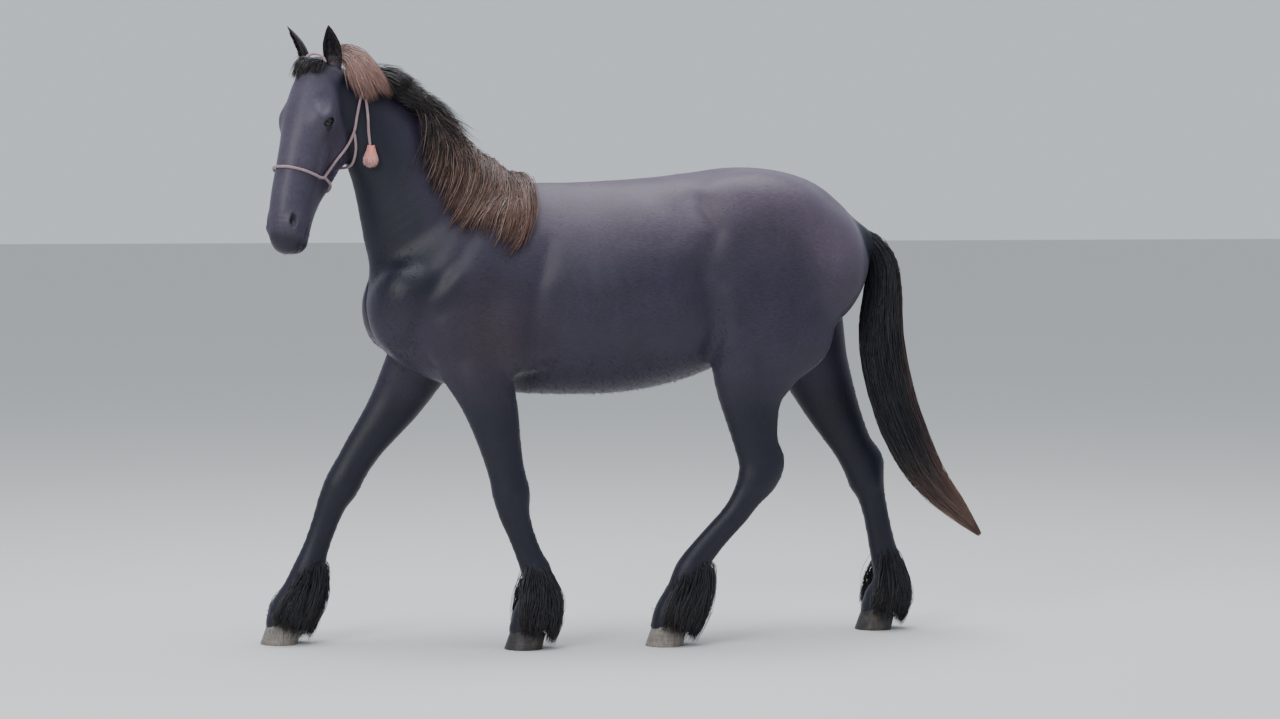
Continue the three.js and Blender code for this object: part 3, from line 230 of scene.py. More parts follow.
class Muscle:
    """An ellipsoid, its axes tilted about the side axis and turned about the axis out."""

    def __init__(self, axes, blend, centre, radii, tilt=0, turn=0, hollow=False):
        ct, st, cz, sz = (f(math.radians(v)) for v in (tilt, turn) for f in (math.cos, math.sin))
        turned = np.array([[cz, -sz, 0], [sz, cz, 0], [0, 0, 1]])
        tilted = np.array([[ct, 0, st], [0, 1, 0], [-st, 0, ct]])
        self.axes = (turned @ tilted).T @ np.array([axes.x, axes.y, axes.z])
        self.blend, self.at, self.radii, self.hollow = blend, axes.place(*centre), radii, hollow

    def pieces(self, reach):
        r = np.sqrt(((self.axes.T * self.radii) ** 2).sum(1)) + reach
        return [((self.at - r, self.at + r), 0)]

    def distance(self, _, x, y, z):
        ox, oy, oz = (v - np.float32(self.at[k]) for k, v in enumerate((x, y, z)))
        axes = self.axes.astype(np.float32)
        a, b, c = (ox * n[0] + oy * n[1] + oz * n[2] for n in axes)
        q = np.sqrt((a / self.radii[0]) ** 2 + (b / self.radii[1]) ** 2 + (c / self.radii[2]) ** 2)
        return np.sqrt(a * a + b * b + c * c) * (1 - 1 / np.maximum(q, 1e-4))


def pair(axes, blend, centre, radii, tilt=0, turn=0, hollow=False):
    x, y, z = centre
    return [Muscle(axes, blend, (x, s * y, z), radii, tilt, s * turn, hollow) for s in (1, -1)]


def join(field, shape, distance):
    other = -distance if shape.hollow else distance
    h = np.maximum(shape.blend - np.abs(field - other), 0)
    soft = h * h / (4 * shape.blend)
    return np.maximum(field, other) + soft if shape.hollow else np.minimum(field, other) - soft


def field_at(shapes, points, reach=30.0):
    """The field at points, sound within the reach of the skin."""
    p = points.astype(np.float32)
    x, y, z = p[:, 0].copy(), p[:, 1].copy(), p[:, 2].copy()
    field = np.full(len(p), FAR, np.float32)
    for shape in shapes:
        near = np.full(len(p), FAR, np.float32)
        for (low, high), i in shape.pieces(reach + shape.blend):
            m = np.flatnonzero((x > low[0]) & (x < high[0]) & (y > low[1]) & (y < high[1])
                               & (z > low[2]) & (z < high[2]))
            if len(m):
                near[m] = np.minimum(near[m], shape.distance(i, x[m], y[m], z[m]))
        field = join(field, shape, near)
    return field


def slope_at(shapes, points, reach=30.0, d=1.5):
    """The field and its slope."""
    here = field_at(shapes, points, reach)
    slopes = [field_at(shapes, points + d * np.eye(3)[k], reach) - here for k in range(3)]
    return here, np.stack(slopes, axis=1) / d


def settle(shapes, points, height, rounds=5, reach=200.0):
    """Moves points along the slope until they lie at a height above the skin."""
    points = np.array(points, float)
    for _ in range(rounds):
        here, slope = slope_at(shapes, points, reach)
        points = points + unit(slope) * np.clip(height - here, -40, 40)[:, None]
    return points


def trunk():
    return [
        Tube(world_axes, 40, [
            [-664, 0, 1066, 96, 92, 108], [-610, 0, 1068, 148, 160, 192], [-500, 0, 1080, 172, 230, 268],
            [-380, 0, 1095, 184, 295, 305, 1.7], [-250, 0, 1105, 192, 330, 321, 1.55],
            [-100, 0, 1100, 216, WITHERS - 1100, 321, 1.65], [50, 0, 1100, 238, 346, 316, 1.8],
            [200, 0, 1118, 246, 340, 302, 1.95], [330, 0, 1152, 240, 324, 280, 2.1],
            [450, 0, 1190, 230, CROUP - 1190, 268, 2.2], [560, 0, 1205, 220, 270, 252, 2.2],
            [660, 0, 1195, 192, 226, 222, 2.1], [740, 0, 1190, 142, 168, 150], [792, 0, 1200, 88, 112, 90],
        ], 6),
        *pair(world_axes, 45, [-660, 84, 1040], [74, 70, 116]),
        *pair(world_axes, 110, [-440, 114, 1165], [215, 44, 84], -50),
        *pair(world_axes, 60, [-330, 150, 960], [135, 46, 100], 25),
        *pair(world_axes, 60, [-618, 126, 1092], [72, 54, 84], -30),
        *pair(world_axes, 80, [490, 138, 1330], [190, 86, 120], 10),
        *pair(world_axes, 80, [690, 112, 1150], [118, 86, 160], 12),
        *pair(world_axes, 90, [310, 312, 1120], [75, 78, 160], -15, hollow=True),
        Muscle(world_axes, 45, [-752, 0, 1010], [40, 16, 130], 8, hollow=True),
    ]


def neck():
    return [Tube(world_axes, 45, [
        [-866, -55, 1728, 58, 78, 85, 1.8], [-792, -42, 1672, 64, 104, 112, 1.7],
        [-722, -28, 1598, 72, 128, 120, 1.6], [-636, -10, 1494, 86, 160, 162, 1.6],
        [-508, 0, 1310, 120, 232, 256, 1.6], [-400, 0, 1180, 138, 275, 320, 1.6],
        [-300, 0, 1060, 120, 200, 250, 1.8],
    ], 8)]


# Each leg: its side, the middle of its hoof, and stations x, z, half width, radius behind and ahead
LEGS = {
    "fore_left": (-136, -266, [
        [-470, 1020, 62, 110, 120], [-425, 900, 66, 104, 112], [-385, 800, 60, 90, 94],
        [-359, 715, 53, 78, 79], [-338, 625, 46, 64, 65], [-320, 545, 43, 57, 57],
        [-305, 480, 46, 58, 59], [-294, 415, 38, 46, 49], [-274, 350, 30, 42, 40],
        [-250, 285, 30, 43, 39], [-228, 225, 38, 52, 44], [-232, 165, 36, 42, 44], [-248, 104, 46, 50, 52]]),
    "fore_right": (136, -992, [
        [-480, 1020, 62, 110, 120], [-545, 890, 66, 100, 108], [-616, 765, 57, 82, 85],
        [-668, 690, 50, 68, 71], [-722, 618, 45, 58, 60], [-764, 552, 42, 54, 55],
        [-797, 492, 45, 55, 56], [-827, 437, 37, 46, 47], [-852, 375, 30, 42, 40],
        [-880, 300, 30, 43, 39], [-908, 228, 38, 52, 45], [-940, 168, 36, 42, 44], [-972, 106, 46, 50, 52]]),
    "hind_left": (-142, 178, [
        [570, 1240, 72, 150, 160], [505, 1100, 88, 228, 175], [470, 985, 84, 242, 160],
        [446, 885, 70, 196, 124], [442, 800, 57, 138, 102], [448, 735, 49, 98, 86],
        [466, 630, 39, 72, 69], [480, 565, 40, 79, 66], [470, 512, 43, 65, 61],
        [442, 462, 37, 46, 49], [400, 405, 31, 42, 40], [346, 347, 30, 42, 39],
        [294, 289, 31, 46, 40], [256, 233, 38, 56, 46], [228, 172, 36, 45, 44], [198, 106, 46, 50, 52]]),
    "hind_right": (142, 926, [
        [610, 1220, 72, 140, 150], [650, 1080, 86, 155, 165], [688, 960, 80, 138, 145],
        [728, 850, 67, 112, 114], [775, 740, 53, 92, 91], [815, 660, 43, 77, 75],
        [850, 592, 39, 68, 62], [880, 530, 41, 79, 58], [900, 480, 43, 60, 58],
        [914, 438, 35, 47, 46], [928, 380, 30, 43, 40], [941, 315, 30, 44, 39],
        [955, 250, 32, 48, 42], [970, 192, 38, 56, 47], [966, 146, 36, 45, 44], [948, 102, 46, 50, 52]]),
}


def leg(name):
    side, _, stations = LEGS[name]
    rows = [[x, side * (0.9 if i < 2 else 1), z, *size] for i, (x, z, *size) in enumerate(stations)]
    x, z, w, back, front = stations[-1]
    rows.append([x - 14, side, z - 50, w, back, front])
    return [Tube(world_axes, 34, rows)]


def skull():
    def row(r):
        l, d, *size = r
        return [along(l), 0, d, *size]

    def both(blend, centre, radii, tilt=0, turn=0, hollow=False):
        return pair(head, blend, [along(centre[0]), *centre[1:]], radii, tilt, turn, hollow)

    l, s, d = EYE
    return [
        Tube(head, 22, [row(r) for r in [
            [12, -74, 46, 60, 60], [58, -75, 62, 78, 84], [126, -77, 76, 86, 100], [194, -80, 79, 89, 110],
            [270, -82, 68, 86, 92], [348, -84, 60, 81, 80, 2.2], [426, -88, 57, 79, 76, 2.3],
            [504, -96, 55, 73, 70, 2.3], [552, -102, 51, 60, 60, 2.2], [574, -106, 44, 46, 46]]]),
        Tube(head, 20, [row(r) for r in [
            [160, -172, 54, 60, 82], [242, -168, 50, 60, 88], [320, -158, 44, 50, 72],
            [406, -145, 38, 36, 53], [484, -140, 35, 32, 42], [542, -142, 36, 30, 34],
            [566, -140, 29, 22, 24]]]),
        *both(26, [198, 44, -166], [94, 26, 84], 12),
        *both(26, [182, 62, -57], [52, 27, 36], 8),
        *both(16, [282, 56, -102], [70, 12, 14], 6),
        *both(16, [524, 38, -68], [34, 20, 26], 10),
        Muscle(head, 12, [along(560), 0, -152], [29, 33, 24]),
        *both(30, [130, 86, -28], [32, 13, 22], hollow=True),
        *both(4, [519, 54, -54], [24, 22, 9], 14, 16, hollow=True),
        *both(4, [540, 53, -126], [60, 13, 5], 4, hollow=True),
        Muscle(head, 4, [along(592), 0, -125], [20, 44, 5], hollow=True),
        *both(24, [20, 50, -76], [24, 26, 30]),
        # lids: a mound over the ball, an almond cut into it, and the floor of the socket
        *pair(head, 8, (l, s, d), (30, 24, 23.5), LID_TILT),
        *pair(head, 2.5, (l, s + 16, d), (25, 28, 11.5), LID_TILT, hollow=True),
        *pair(head, 0.6, (l, s, d), (19.6, 19.6, 19.6)),
    ]


DOCK = [[770, 1284, 36], [830, 1272, 33], [888, 1222, 27], [916, 1130, 21], [926, 1010, 13]]


def dock():
    return [Tube(world_axes, 40, [[x, 0, z, r, r, r] for x, z, r in DOCK])]


flesh = {"trunk": trunk(), "neck": neck(), "head": skull(), "dock": dock()}
flesh.update({name: leg(name) for name in LEGS})
body = [shape for shapes in flesh.values() for shape in shapes]


# Meshing the skin

def sample_grid(shapes, low, high, step):
    size = np.ceil((high - low) / step).astype(int) + 1
    axes = [(low[k] + np.arange(size[k]) * step).astype(np.float32) for k in range(3)]
    field = np.full(size, FAR, np.float32)

    def cells(box_low, box_high):
        first = np.clip(np.floor((box_low - low) / step).astype(int), 0, size - 1)
        last = np.clip(np.ceil((box_high - low) / step).astype(int) + 1, 1, size)
        return tuple(slice(a, b) for a, b in zip(first, last))

    for shape in shapes:
        pieces = shape.pieces(shape.blend + 2 * step)
        lows, highs = zip(*(box for box, _ in pieces))
        whole = cells(np.min(lows, axis=0), np.max(highs, axis=0))
        near = np.full(field[whole].shape, FAR, np.float32)
        for (box_low, box_high), i in pieces:
            part = cells(box_low, box_high)
            inner = tuple(slice(p.start - w.start, p.stop - w.start) for p, w in zip(part, whole))
            x, y, z = np.ix_(*(axis[p] for axis, p in zip(axes, part)))
            near[inner] = np.minimum(near[inner], shape.distance(i, x, y, z))
        field[whole] = join(field[whole], shape, near)
    return field


def mesh_grid(field, low, step):
    """One vertex in each cell that the skin crosses, and two triangles on each crossed edge."""
    inside = field < 0
    size = np.array(field.shape)
    corners = [(a, b, c) for a in (0, 1) for b in (0, 1) for c in (0, 1)]
    count = np.zeros(size - 1, np.int8)
    for a, b, c in corners:
        count += inside[a:size[0] - 1 + a, b:size[1] - 1 + b, c:size[2] - 1 + c]
    cell = (count > 0) & (count < 8)
    ids = np.full(size - 1, -1, np.int64)
    at = np.argwhere(cell)
    ids[cell] = np.arange(len(at))
    total, crossings = np.zeros((len(at), 3)), np.zeros(len(at))
    for p in corners:
        for k in range(3):
            if p[k] == 0:
                q = tuple(1 if n == k else p[n] for n in range(3))
                fp = field[tuple((at + p).T)]
                fq = field[tuple((at + q).T)]
                crossed = (fp < 0) != (fq < 0)
                t = np.where(crossed, fp / np.where(crossed, fp - fq, 1), 0)
                total += crossed[:, None] * (np.array(p) + np.outer(t, np.array(q) - p))
                crossings += crossed
    points = low + (at + total / crossings[:, None]) * step
    faces = []
    for k in range(3):
        i, j = (k + 1) % 3, (k + 2) % 3
        here = inside[tuple(slice(0, n - 1) for n in size)]
        ahead = inside[tuple(slice(1, n) if m == k else slice(0, n - 1)
                             for m, n in enumerate(size))]
        edge = np.argwhere(here != ahead)
        edge = edge[(edge[:, i] > 0) & (edge[:, j] > 0)]
        filled = here[tuple(edge.T)]

        def vertex(a, b):
            place = edge.copy()
            place[:, i] -= a
            place[:, j] -= b
            return ids[tuple(place.T)]

        a, b, c, d = vertex(1, 1), vertex(0, 1), vertex(0, 0), vertex(1, 0)
        b, d = np.where(filled, b, d), np.where(filled, d, b)
        faces += [np.stack([a, b, c], 1), np.stack([a, c, d], 1)]
    return points, np.concatenate(faces)


def edge_keys(faces, count):
    a = faces.ravel().astype(np.int64)
    b = np.roll(faces, -1, axis=1).ravel().astype(np.int64)
    return np.minimum(a, b) * count + np.maximum(a, b)


def refine(points, faces, marked):
    """Halves the edges of the marked faces and fits their neighbours to them."""
    count = len(points)
    unique, index = np.unique(edge_keys(faces, count), return_inverse=True)
    index = index.reshape(-1, 3)
    cut = np.zeros(len(unique), bool)
    cut[index[marked]] = True
    middle = np.full(len(unique), -1)
    middle[cut] = count + np.arange(cut.sum())
    halved = unique[cut]
    grown = np.concatenate([points, (points[halved // count] + points[halved % count]) / 2])
    flags, mids = cut[index], middle[index]
    number = flags.sum(1)
    made = [faces[number == 0]]
    full = number == 3
    (a, b, c), (m, n, o) = faces[full].T, mids[full].T
    made += [np.stack(v, 1) for v in ([a, m, o], [m, b, n], [o, n, c], [m, n, o])]
    for turn in range(3):
        v, e, f = (np.roll(values, -turn, axis=1) for values in (faces, mids, flags))
        one = (number == 1) & f[:, 0]
        (a, b, c), m = v[one].T, e[one, 0]
        made += [np.stack([a, m, c], 1), np.stack([m, b, c], 1)]
        two = (number == 2) & ~f[:, 2]
        (a, b, c), (m, n) = v[two].T, e[two, :2].T
        made += [np.stack([m, b, n], 1), np.stack([a, m, n], 1), np.stack([a, n, c], 1)]
    return grown, np.concatenate(made)


class Smoother:
    """Moves each point towards the middle of its neighbours."""

    def __init__(self, faces, count):
        keys = np.unique(edge_keys(faces, count))
        self.a, self.b = keys // count, keys % count
        self.number = np.bincount(self.a, minlength=count) + np.bincount(self.b, minlength=count)

    def __call__(self, points, share):
        count = len(points)
        total = np.stack([np.bincount(self.a, points[self.b, k], count)
                          + np.bincount(self.b, points[self.a, k], count) for k in range(3)], 1)
        shift = total / np.maximum(self.number, 1)[:, None] - points
        return points + shift * (share if np.isscalar(share) else share[:, None])


def eye_distance(points):
    left, right = (np.linalg.norm(points - eye_centre(side), axis=1) for side in (1, -1))
    return np.minimum(left, right)


def in_muzzle(points, grow=0):
    l, s, d = head.inside(points)
    return (l > along(496) - grow) & (l < 700) & (np.abs(s) < 90) & (d > -200 - grow) & (d < -10)


def on_head(points):
    """1 on the head, 0 on the neck."""
    l, _, _ = head.inside(points)
    near = (points[:, 0] < -760) & (points[:, 2] > 1150)
    share = np.zeros(len(points))
    share[near] = ease(field_at(flesh["neck"], points[near], 60), 4, 32) * ease(l[near], -30, 30)
    return share


def way_to_surface(shapes, points, reach, d, least, most):
    """The step that takes points on to the surface of shapes, never longer than most."""
    here, slope = slope_at(shapes, points, reach, d)
    return slope * np.clip(here / np.maximum((slope**2).sum(1), least), -most, most)[:, None]


def to_refine(level, centre):
    """The faces to halve: the whole head's, then the lids' and muzzle's, then the lids' and mouth's."""
    l, s, d = head.inside(centre)
    if level == 0:
        on_skull = (l > -20) & (l < 700) & (np.abs(s) < 120) & (d > -270) & (d < 60)
        return on_skull & (centre[:, 0] < -780)
    if level == 1:
        return (eye_distance(centre) < 50) | in_muzzle(centre)
    mouth = in_muzzle(centre) & (np.abs(s) > 22) & (l > along(515)) & (d < -50)
    return (eye_distance(centre) < 35) | mouth


def make_skin():
    """The field's skin, smoothed without shrinking, then refined and fitted again on the head."""
    field = sample_grid(body, SKIN_LOW, SKIN_HIGH, SKIN_STEP)
    points, faces = mesh_grid(field, SKIN_LOW, SKIN_STEP)
    smooth = Smoother(faces, len(points))
    points = smooth(points, 0.5)
    points = points - way_to_surface(body, points, 30, 1.5, 0.2, 8)
    for _ in range(SMOOTH_ROUNDS):
        points = smooth(smooth(points, 0.5), -0.52)
    shapes = flesh["neck"] + flesh["head"]
    for level in range(3):
        points, faces = refine(points, faces, to_refine(level, points[faces].mean(1)))
        smooth = Smoother(faces, len(points))
        share = on_head(points)
        if level:
            share = share * ((eye_distance(points) < 54) | in_muzzle(points, 12))
        points = smooth(points, 0.35 * share)
        touched = np.flatnonzero(share > 0)
        for _ in range(3 if level else 2):
            step = way_to_surface(shapes, points[touched], 30, 0.6, 0.25, 6)
            points[touched] -= step * share[touched, None]
    fine = np.where((eye_distance(points) < 46) | in_muzzle(points), 0.12, 0.5) * on_head(points)
    for _ in range(3):
        points = smooth(points, fine)
    return points, faces


# Creases and swellings of the side: a line of places x, z, its half width and its height
RELIEF = [
    ([(-196, 1240), (-230, 1120), (-246, 1000), (-250, 880), (-262, 800)], 30, -8),
    ([(-310, 1160), (-305, 1000), (-310, 860)], 46, 6),
    ([(262, 1390), (322, 1290), (292, 1200), (288, 1130), (312, 1050), (328, 960), (318, 900)], 32, -11),
    ([(368, 1090), (386, 1000), (362, 925)], 36, 8),
    ([(560, 1330), (612, 1240), (655, 1150), (690, 1050), (692, 950)], 30, -6),
    ([(-395, 1330), (-470, 1210), (-575, 1090), (-598, 985)], 26, -7),
    ([(-480, 1150), (-540, 1050), (-512, 965)], 34, 5),
    ([(-160, 1090), (0, 1050), (140, 1085), (240, 1170)], 36, -4),
    ([(205, 1350), (190, 1260), (170, 1200)], 60, -6),
    ([(236, 1402), (262, 1400)], 48, 6),
    ([(430, 1290), (520, 1270)], 60, -5),
    ([(-470, 900), (-500, 840)], 30, -5),
    ([(470, 900), (480, 820), (470, 740)], 26, -4),
    ([(-312, 470), (-296, 420), (-266, 340), (-240, 270)], 9, -3.5),
    ([(-790, 470), (-816, 420), (-862, 330), (-896, 260)], 9, -3.5),
    ([(466, 470), (410, 400), (356, 335), (304, 275)], 9, -3.5),
    ([(922, 440), (936, 380), (950, 315), (964, 250)], 9, -3.5),
]


def vertex_normals(points, faces):
    a, b, c = (points[faces[:, k]] for k in range(3))
    across = np.cross(b - a, c - a)
    normals = np.stack([sum(np.bincount(faces[:, k], across[:, n], len(points)) for k in range(3))
                        for n in range(3)], 1)
    return unit(normals)


# The ribs: low even waves in a soft patch, with its middle and half size in x and z
RIB_HEIGHT, RIB_WIDTH, RIB_LEAN = 0.5, 8.5, 60
RIB_PATCH = (10, 150, 1080, 130)


def relief(points, faces):
    normals = vertex_normals(points, faces)
    x, z = points[:, 0], points[:, 2]
    mid_x, wide_x, mid_z, wide_z = RIB_PATCH
    patch = np.exp(-((x - mid_x) / wide_x) ** 4 - ((z - mid_z) / wide_z) ** 4)
    height = RIB_HEIGHT * np.sin(x / RIB_WIDTH + z / RIB_LEAN) * patch
    for line, wide, high in RELIEF:
        near = np.full(len(points), 1e9)
        for (ax, az), (bx, bz) in zip(line[:-1], line[1:]):
            run = (x - ax) * (bx - ax) + (z - az) * (bz - az)
            t = np.clip(run / ((bx - ax) ** 2 + (bz - az) ** 2), 0, 1)
            near = np.minimum(near, np.hypot(x - mix(ax, bx, t), z - mix(az, bz, t)))
        height += high * np.exp(-((near / wide) ** 2))
    height *= ease(np.abs(normals[:, 1]), 0.15, 0.75) * (x > -760)
    return points + normals * height[:, None]


skin_points, skin_faces = make_skin()
skin_points = relief(skin_points, skin_faces)


# Making meshes and materials

def make_object(name, points, faces):
    mesh = bpy.data.meshes.new(name)
    mesh.vertices.add(len(points))
    mesh.vertices.foreach_set("co", to_model(points).astype(np.float32).ravel())
    mesh.loops.add(faces.size)
    mesh.loops.foreach_set("vertex_index", faces.astype(np.int32).ravel())
    mesh.polygons.add(len(faces))
    starts = np.arange(0, faces.size, faces.shape[1], dtype=np.int32)
    mesh.polygons.foreach_set("loop_start", starts)
    mesh.update(calc_edges=True)
    mesh.polygons.foreach_set("use_smooth", np.full(len(faces), True))
    thing = bpy.data.objects.new(name, mesh)
    bpy.context.scene.collection.objects.link(thing)
    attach(thing, "root")
    return thing


def dress(thing, material, slot, *replaced):
    thing.data.materials.append(material)
    if replaced:
        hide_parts(*replaced)


def add_colours(thing, colours):
    attribute = thing.data.color_attributes.new("coat", "FLOAT_COLOR", "POINT")
    rgba = np.ones((len(thing.data.vertices), 4), np.float32)
    rgba[:, :3] = colours
    attribute.data.foreach_set("color", rgba.ravel())


def add_numbers(thing, name, values):
    attribute = thing.data.attributes.new(name, "FLOAT", "POINT")
    attribute.data.foreach_set("value", np.asarray(values, np.float32))


class Nodes:
    """A material whose nodes are added one by one."""

    def __init__(self, name, **sockets):
        self.material = bpy.data.materials.new(name)
        self.material.use_nodes = True
        self.tree = self.material.node_tree
        self.shader = self.tree.nodes["Principled BSDF"]
        for key, value in sockets.items():
            self.shader.inputs[key.replace("_", " ")].default_value = value

    def add(self, kind, inputs=None, **settings):
        made = self.tree.nodes.new("ShaderNode" + kind)
        for key, value in settings.items():
            setattr(made, key, value)
        for key, value in (inputs or {}).items():
            self.put(made, key, value)
        return made

    def put(self, made, key, value):
        socket = made.inputs[key]
        if isinstance(value, bpy.types.NodeSocket):
            self.tree.links.new(value, socket)
        else:
            socket.default_value = value

    def ramp(self, value, stops):
        made = self.add("ValToRGB", {"Fac": value})
        points = made.color_ramp.elements
        while len(points) < len(stops):
            points.new(0.5)
        for point, (place, colour) in zip(points, stops):
            point.position = place
            point.color = (*colour, 1)
        return made.outputs["Color"]

    def greys(self, value, low, dark, high, light):
        return self.ramp(value, [(low, grey(dark)), (high, grey(light))])

    def colours(self):
        return self.add("VertexColor", layer_name="coat").outputs["Color"]

    def noise(self, stretch, scale, detail, rough):
        place = self.add("TexCoord").outputs["Object"]
        vector = self.add("Mapping", {"Vector": place, "Scale": stretch}).outputs["Vector"]
        inputs = {"Vector": vector, "Scale": scale, "Detail": detail, "Roughness": rough}
        return self.add("TexNoise", inputs).outputs["Fac"]

    def blend(self, amount, a, b, kind="MIX"):
        made = self.add("Mix", data_type="RGBA", blend_type=kind)
        self.put(made, 0, amount)
        self.put(made, 6, a)
        self.put(made, 7, b)
        return made.outputs[2]

    def times(self, a, b):
        return self.blend(1.0, a, b, "MULTIPLY")

    def bump(self, height, distance, strength, below=None):
        inputs = {"Height": height, "Distance": distance, "Strength": strength}
        if below is not None:
            inputs["Normal"] = below
        return self.add("Bump", inputs).outputs["Normal"]


def grey(value):
    return (value, value, value)


EVEN = grey(1)


def coat_material():
    m = Nodes("coat", Roughness=0.46, Specular_IOR_Level=0.34, Sheen_Weight=0.09,
              Sheen_Roughness=0.42, Sheen_Tint=(0.68, 0.62, 0.86, 1))
    legs = m.add("Attribute", attribute_name="legs").outputs["Fac"]
    flow, fall = (m.noise(stretch, 1.0, 4, 0.6) for stretch in ((60, 420, 420), (420, 420, 60)))
    hairs = m.blend(legs, flow, fall)
    broad = m.noise(EVEN, 9, 4, 0.6)
    shade = m.times(m.greys(hairs, 0.3, 0.72, 0.7, 1.3), m.greys(broad, 0.3, 0.85, 0.7, 1.15))
    m.put(m.shader, "Base Color", m.times(m.colours(), shade))
    m.put(m.shader, "Roughness", m.greys(hairs, 0.25, 0.38, 0.75, 0.54))
    ripple = m.bump(broad, 0.004, 0.25)
    m.put(m.shader, "Normal", m.bump(hairs, 0.0012, 0.55, ripple))
    return m.material


def hair_material():
    m = Nodes("hair", Roughness=0.42, Specular_IOR_Level=0.55)
    fine = m.noise((160, 160, 160), 1.0, 3, 0.6)
    m.put(m.shader, "Base Color", m.times(m.colours(), m.greys(fine, 0.3, 0.75, 0.7, 1.25)))
    m.put(m.shader, "Roughness", m.greys(fine, 0.3, 0.34, 0.7, 0.52))
    return m.material


coat = coat_material()
hair = hair_material()

BLACK = np.array([0.0075, 0.0070, 0.0105])
BLUE_BLACK = np.array([0.0050, 0.0058, 0.0105])
BROWN_BLACK = np.array([0.0160, 0.0115, 0.0135])
RUST = np.array([0.230, 0.118, 0.088])
BLOND = np.array([0.500, 0.360, 0.290])
UMBER = np.array([0.045, 0.027, 0.026])
BARREL = np.array([0.0225, 0.0180, 0.0360])
SHOULDER = np.array([0.0240, 0.0165, 0.0260])
# Painted sheen: the lighter purple-brown of the topline and face stands for light on the coat
TOPLINE_SHEEN = np.array([0.0650, 0.0490, 0.0740])
FACE_SHEEN = np.array([0.0520, 0.0440, 0.0700])
SHANK = np.array([0.0055, 0.0065, 0.0150])


def skin_colours(points):
    """Near black, blue-black on the neck and legs and brown at the shoulder, with a painted purple
    sheen lighter on the topline and face, and painted shade round the eyes and in the nostrils."""
    x, _, z = points.T
    l, s, d = head.inside(points)
    face = on_head(points)
    colour = np.tile(BARREL, (len(points), 1))

    def tint(to, share):
        return mix(colour, to, np.clip(share, 0, 1)[:, None])

    colour = tint(SHOULDER, np.exp(-((x + 370) / 150) ** 2 - ((z - 960) / 190) ** 2))
    # Painted highlight along the topline, from the withers over the back and croup, a little less by the hip
    # point
    haunch = ease(x, 560, 720)
    hip = np.exp(-((x - 420) / 90) ** 2 - ((z - 1270) / 60) ** 2)
    top = ease(z, 1130 - 190 * haunch, 1400 - 130 * haunch) * ease(x, -330, -150)
    colour = tint(TOPLINE_SHEEN, top * (1 - 0.45 * hip))
    front = ease(-x - 0.35 * (z - 1100), 400, 550) * ease(z, 1000, 1150)
    legs = ease(900 - z, 0, 230)
    colour = tint(SHANK, np.maximum(legs, front * (1 - face)))
    # Painted sheen: the head lightened, most on the bridge of the nose and the muzzle as a painted highlight
    colour = tint(FACE_SHEEN * 0.75, face)
    bridge_highlight = ease(d, -90, -10) * ease(l, along(60), along(130))
    bridge_highlight = bridge_highlight * (1 - 0.5 * ease(l, along(420), along(480)))
    colour = tint(FACE_SHEEN, face * np.maximum(bridge_highlight, 0.8 * ease(l, along(430), along(520))))
    dark = ease(l, along(545), along(580)) + ease(40 - l, 0, 60) * ease(d, -60, -20)
    colour = tint(SHANK, face * dark * 0.8)
    # Painted shade: the lids round each eye and the nostril holes darkened
    lid_shade = ease(33 - eye_distance(points), 0, 9)
    nostril_shade = np.exp(-((l - along(519)) / 17) ** 2 - ((np.abs(s) - 48) / 14) ** 2
                  - ((d + 54) / 9) ** 2)
    colour = tint(SHANK * 0.6, np.maximum(lid_shade * 0.85, face * nostril_shade * 1.3))
    colour = tint(SHANK, ease(x, 800, 830) * ease(z, 950, 1000))
    return colour, np.clip(ease(930 - z, 0, 150) + face * 0.8 + front * 0.5, 0, 1)


skin = make_object("skin", skin_points, skin_faces)
skin_shades, skin_legs = skin_colours(skin_points)
add_colours(skin, skin_shades)
add_numbers(skin, "legs", skin_legs)
dress(skin, coat, "coat", "torso", "neck", "head", *(f"leg_{name}" for name in LEGS))


# Hair: closed strands of three sides, their flat side out, each with its own patch of the map
STRAND_DEPTH = 0.45
PATCH = 0.003


def strands(name, paths, normals, width, colours, roots, slot="hair", material=hair, replaced=()):
    count, rows = paths.shape[:2]
    run = np.empty_like(paths)
    run[:, 1:-1] = paths[:, 2:] - paths[:, :-2]
    run[:, 0], run[:, -1] = paths[:, 1] - paths[:, 0], paths[:, -1] - paths[:, -2]
    run = unit(run)
    up = unit(normals - run * (normals * run).sum(-1, keepdims=True))
    across = np.cross(run, up)
    taper = curve([[0.7], [1], [1], [0.8], [0.35]], steps(rows))[:, 0]
    half = (np.broadcast_to(width, (count,))[:, None] * taper / 2)[..., None]
    back = paths + up * half * 2 * STRAND_DEPTH
    rings = np.stack([paths + across * half, back, paths - across * half], 2)[:, :rows - 1]
    points = np.concatenate([rings.reshape(count, -1, 3), paths[:, -1:]], 1)
    size = points.shape[1]
    faces = [[0, 1, 2]]
    for i in range(rows - 2):
        for j in range(3):
            a, b = 3 * i + j, 3 * i + (j + 1) % 3
            faces += [[a, a + 3, b], [b, a + 3, b + 3]]
    last = 3 * (rows - 2)
    faces += [[last + j, size - 1, last + (j + 1) % 3] for j in range(3)]
    faces = np.array(faces)
    all_faces = (faces[None] + (np.arange(count) * size)[:, None, None]).reshape(-1, 3)
    thing = make_object(name, points.reshape(-1, 3), all_faces)
    ring_of = np.append(np.repeat(np.arange(rows - 1), 3), rows - 1)
    add_colours(thing, colours[:, ring_of].reshape(-1, 3))
    side_of = np.append(np.tile(np.arange(3), rows - 1), 1)
    patch = np.stack([side_of / 2, ring_of / (rows - 1)], 1) * PATCH
    uv = (np.clip(roots, 0, 0.996)[:, None] + patch[None]).reshape(-1, 2)
    layer = thing.data.uv_layers.new(name="OFBake")
    layer.data.foreach_set("uv", uv[all_faces.ravel()].astype(np.float32).ravel())
    dress(thing, material, slot, *replaced)


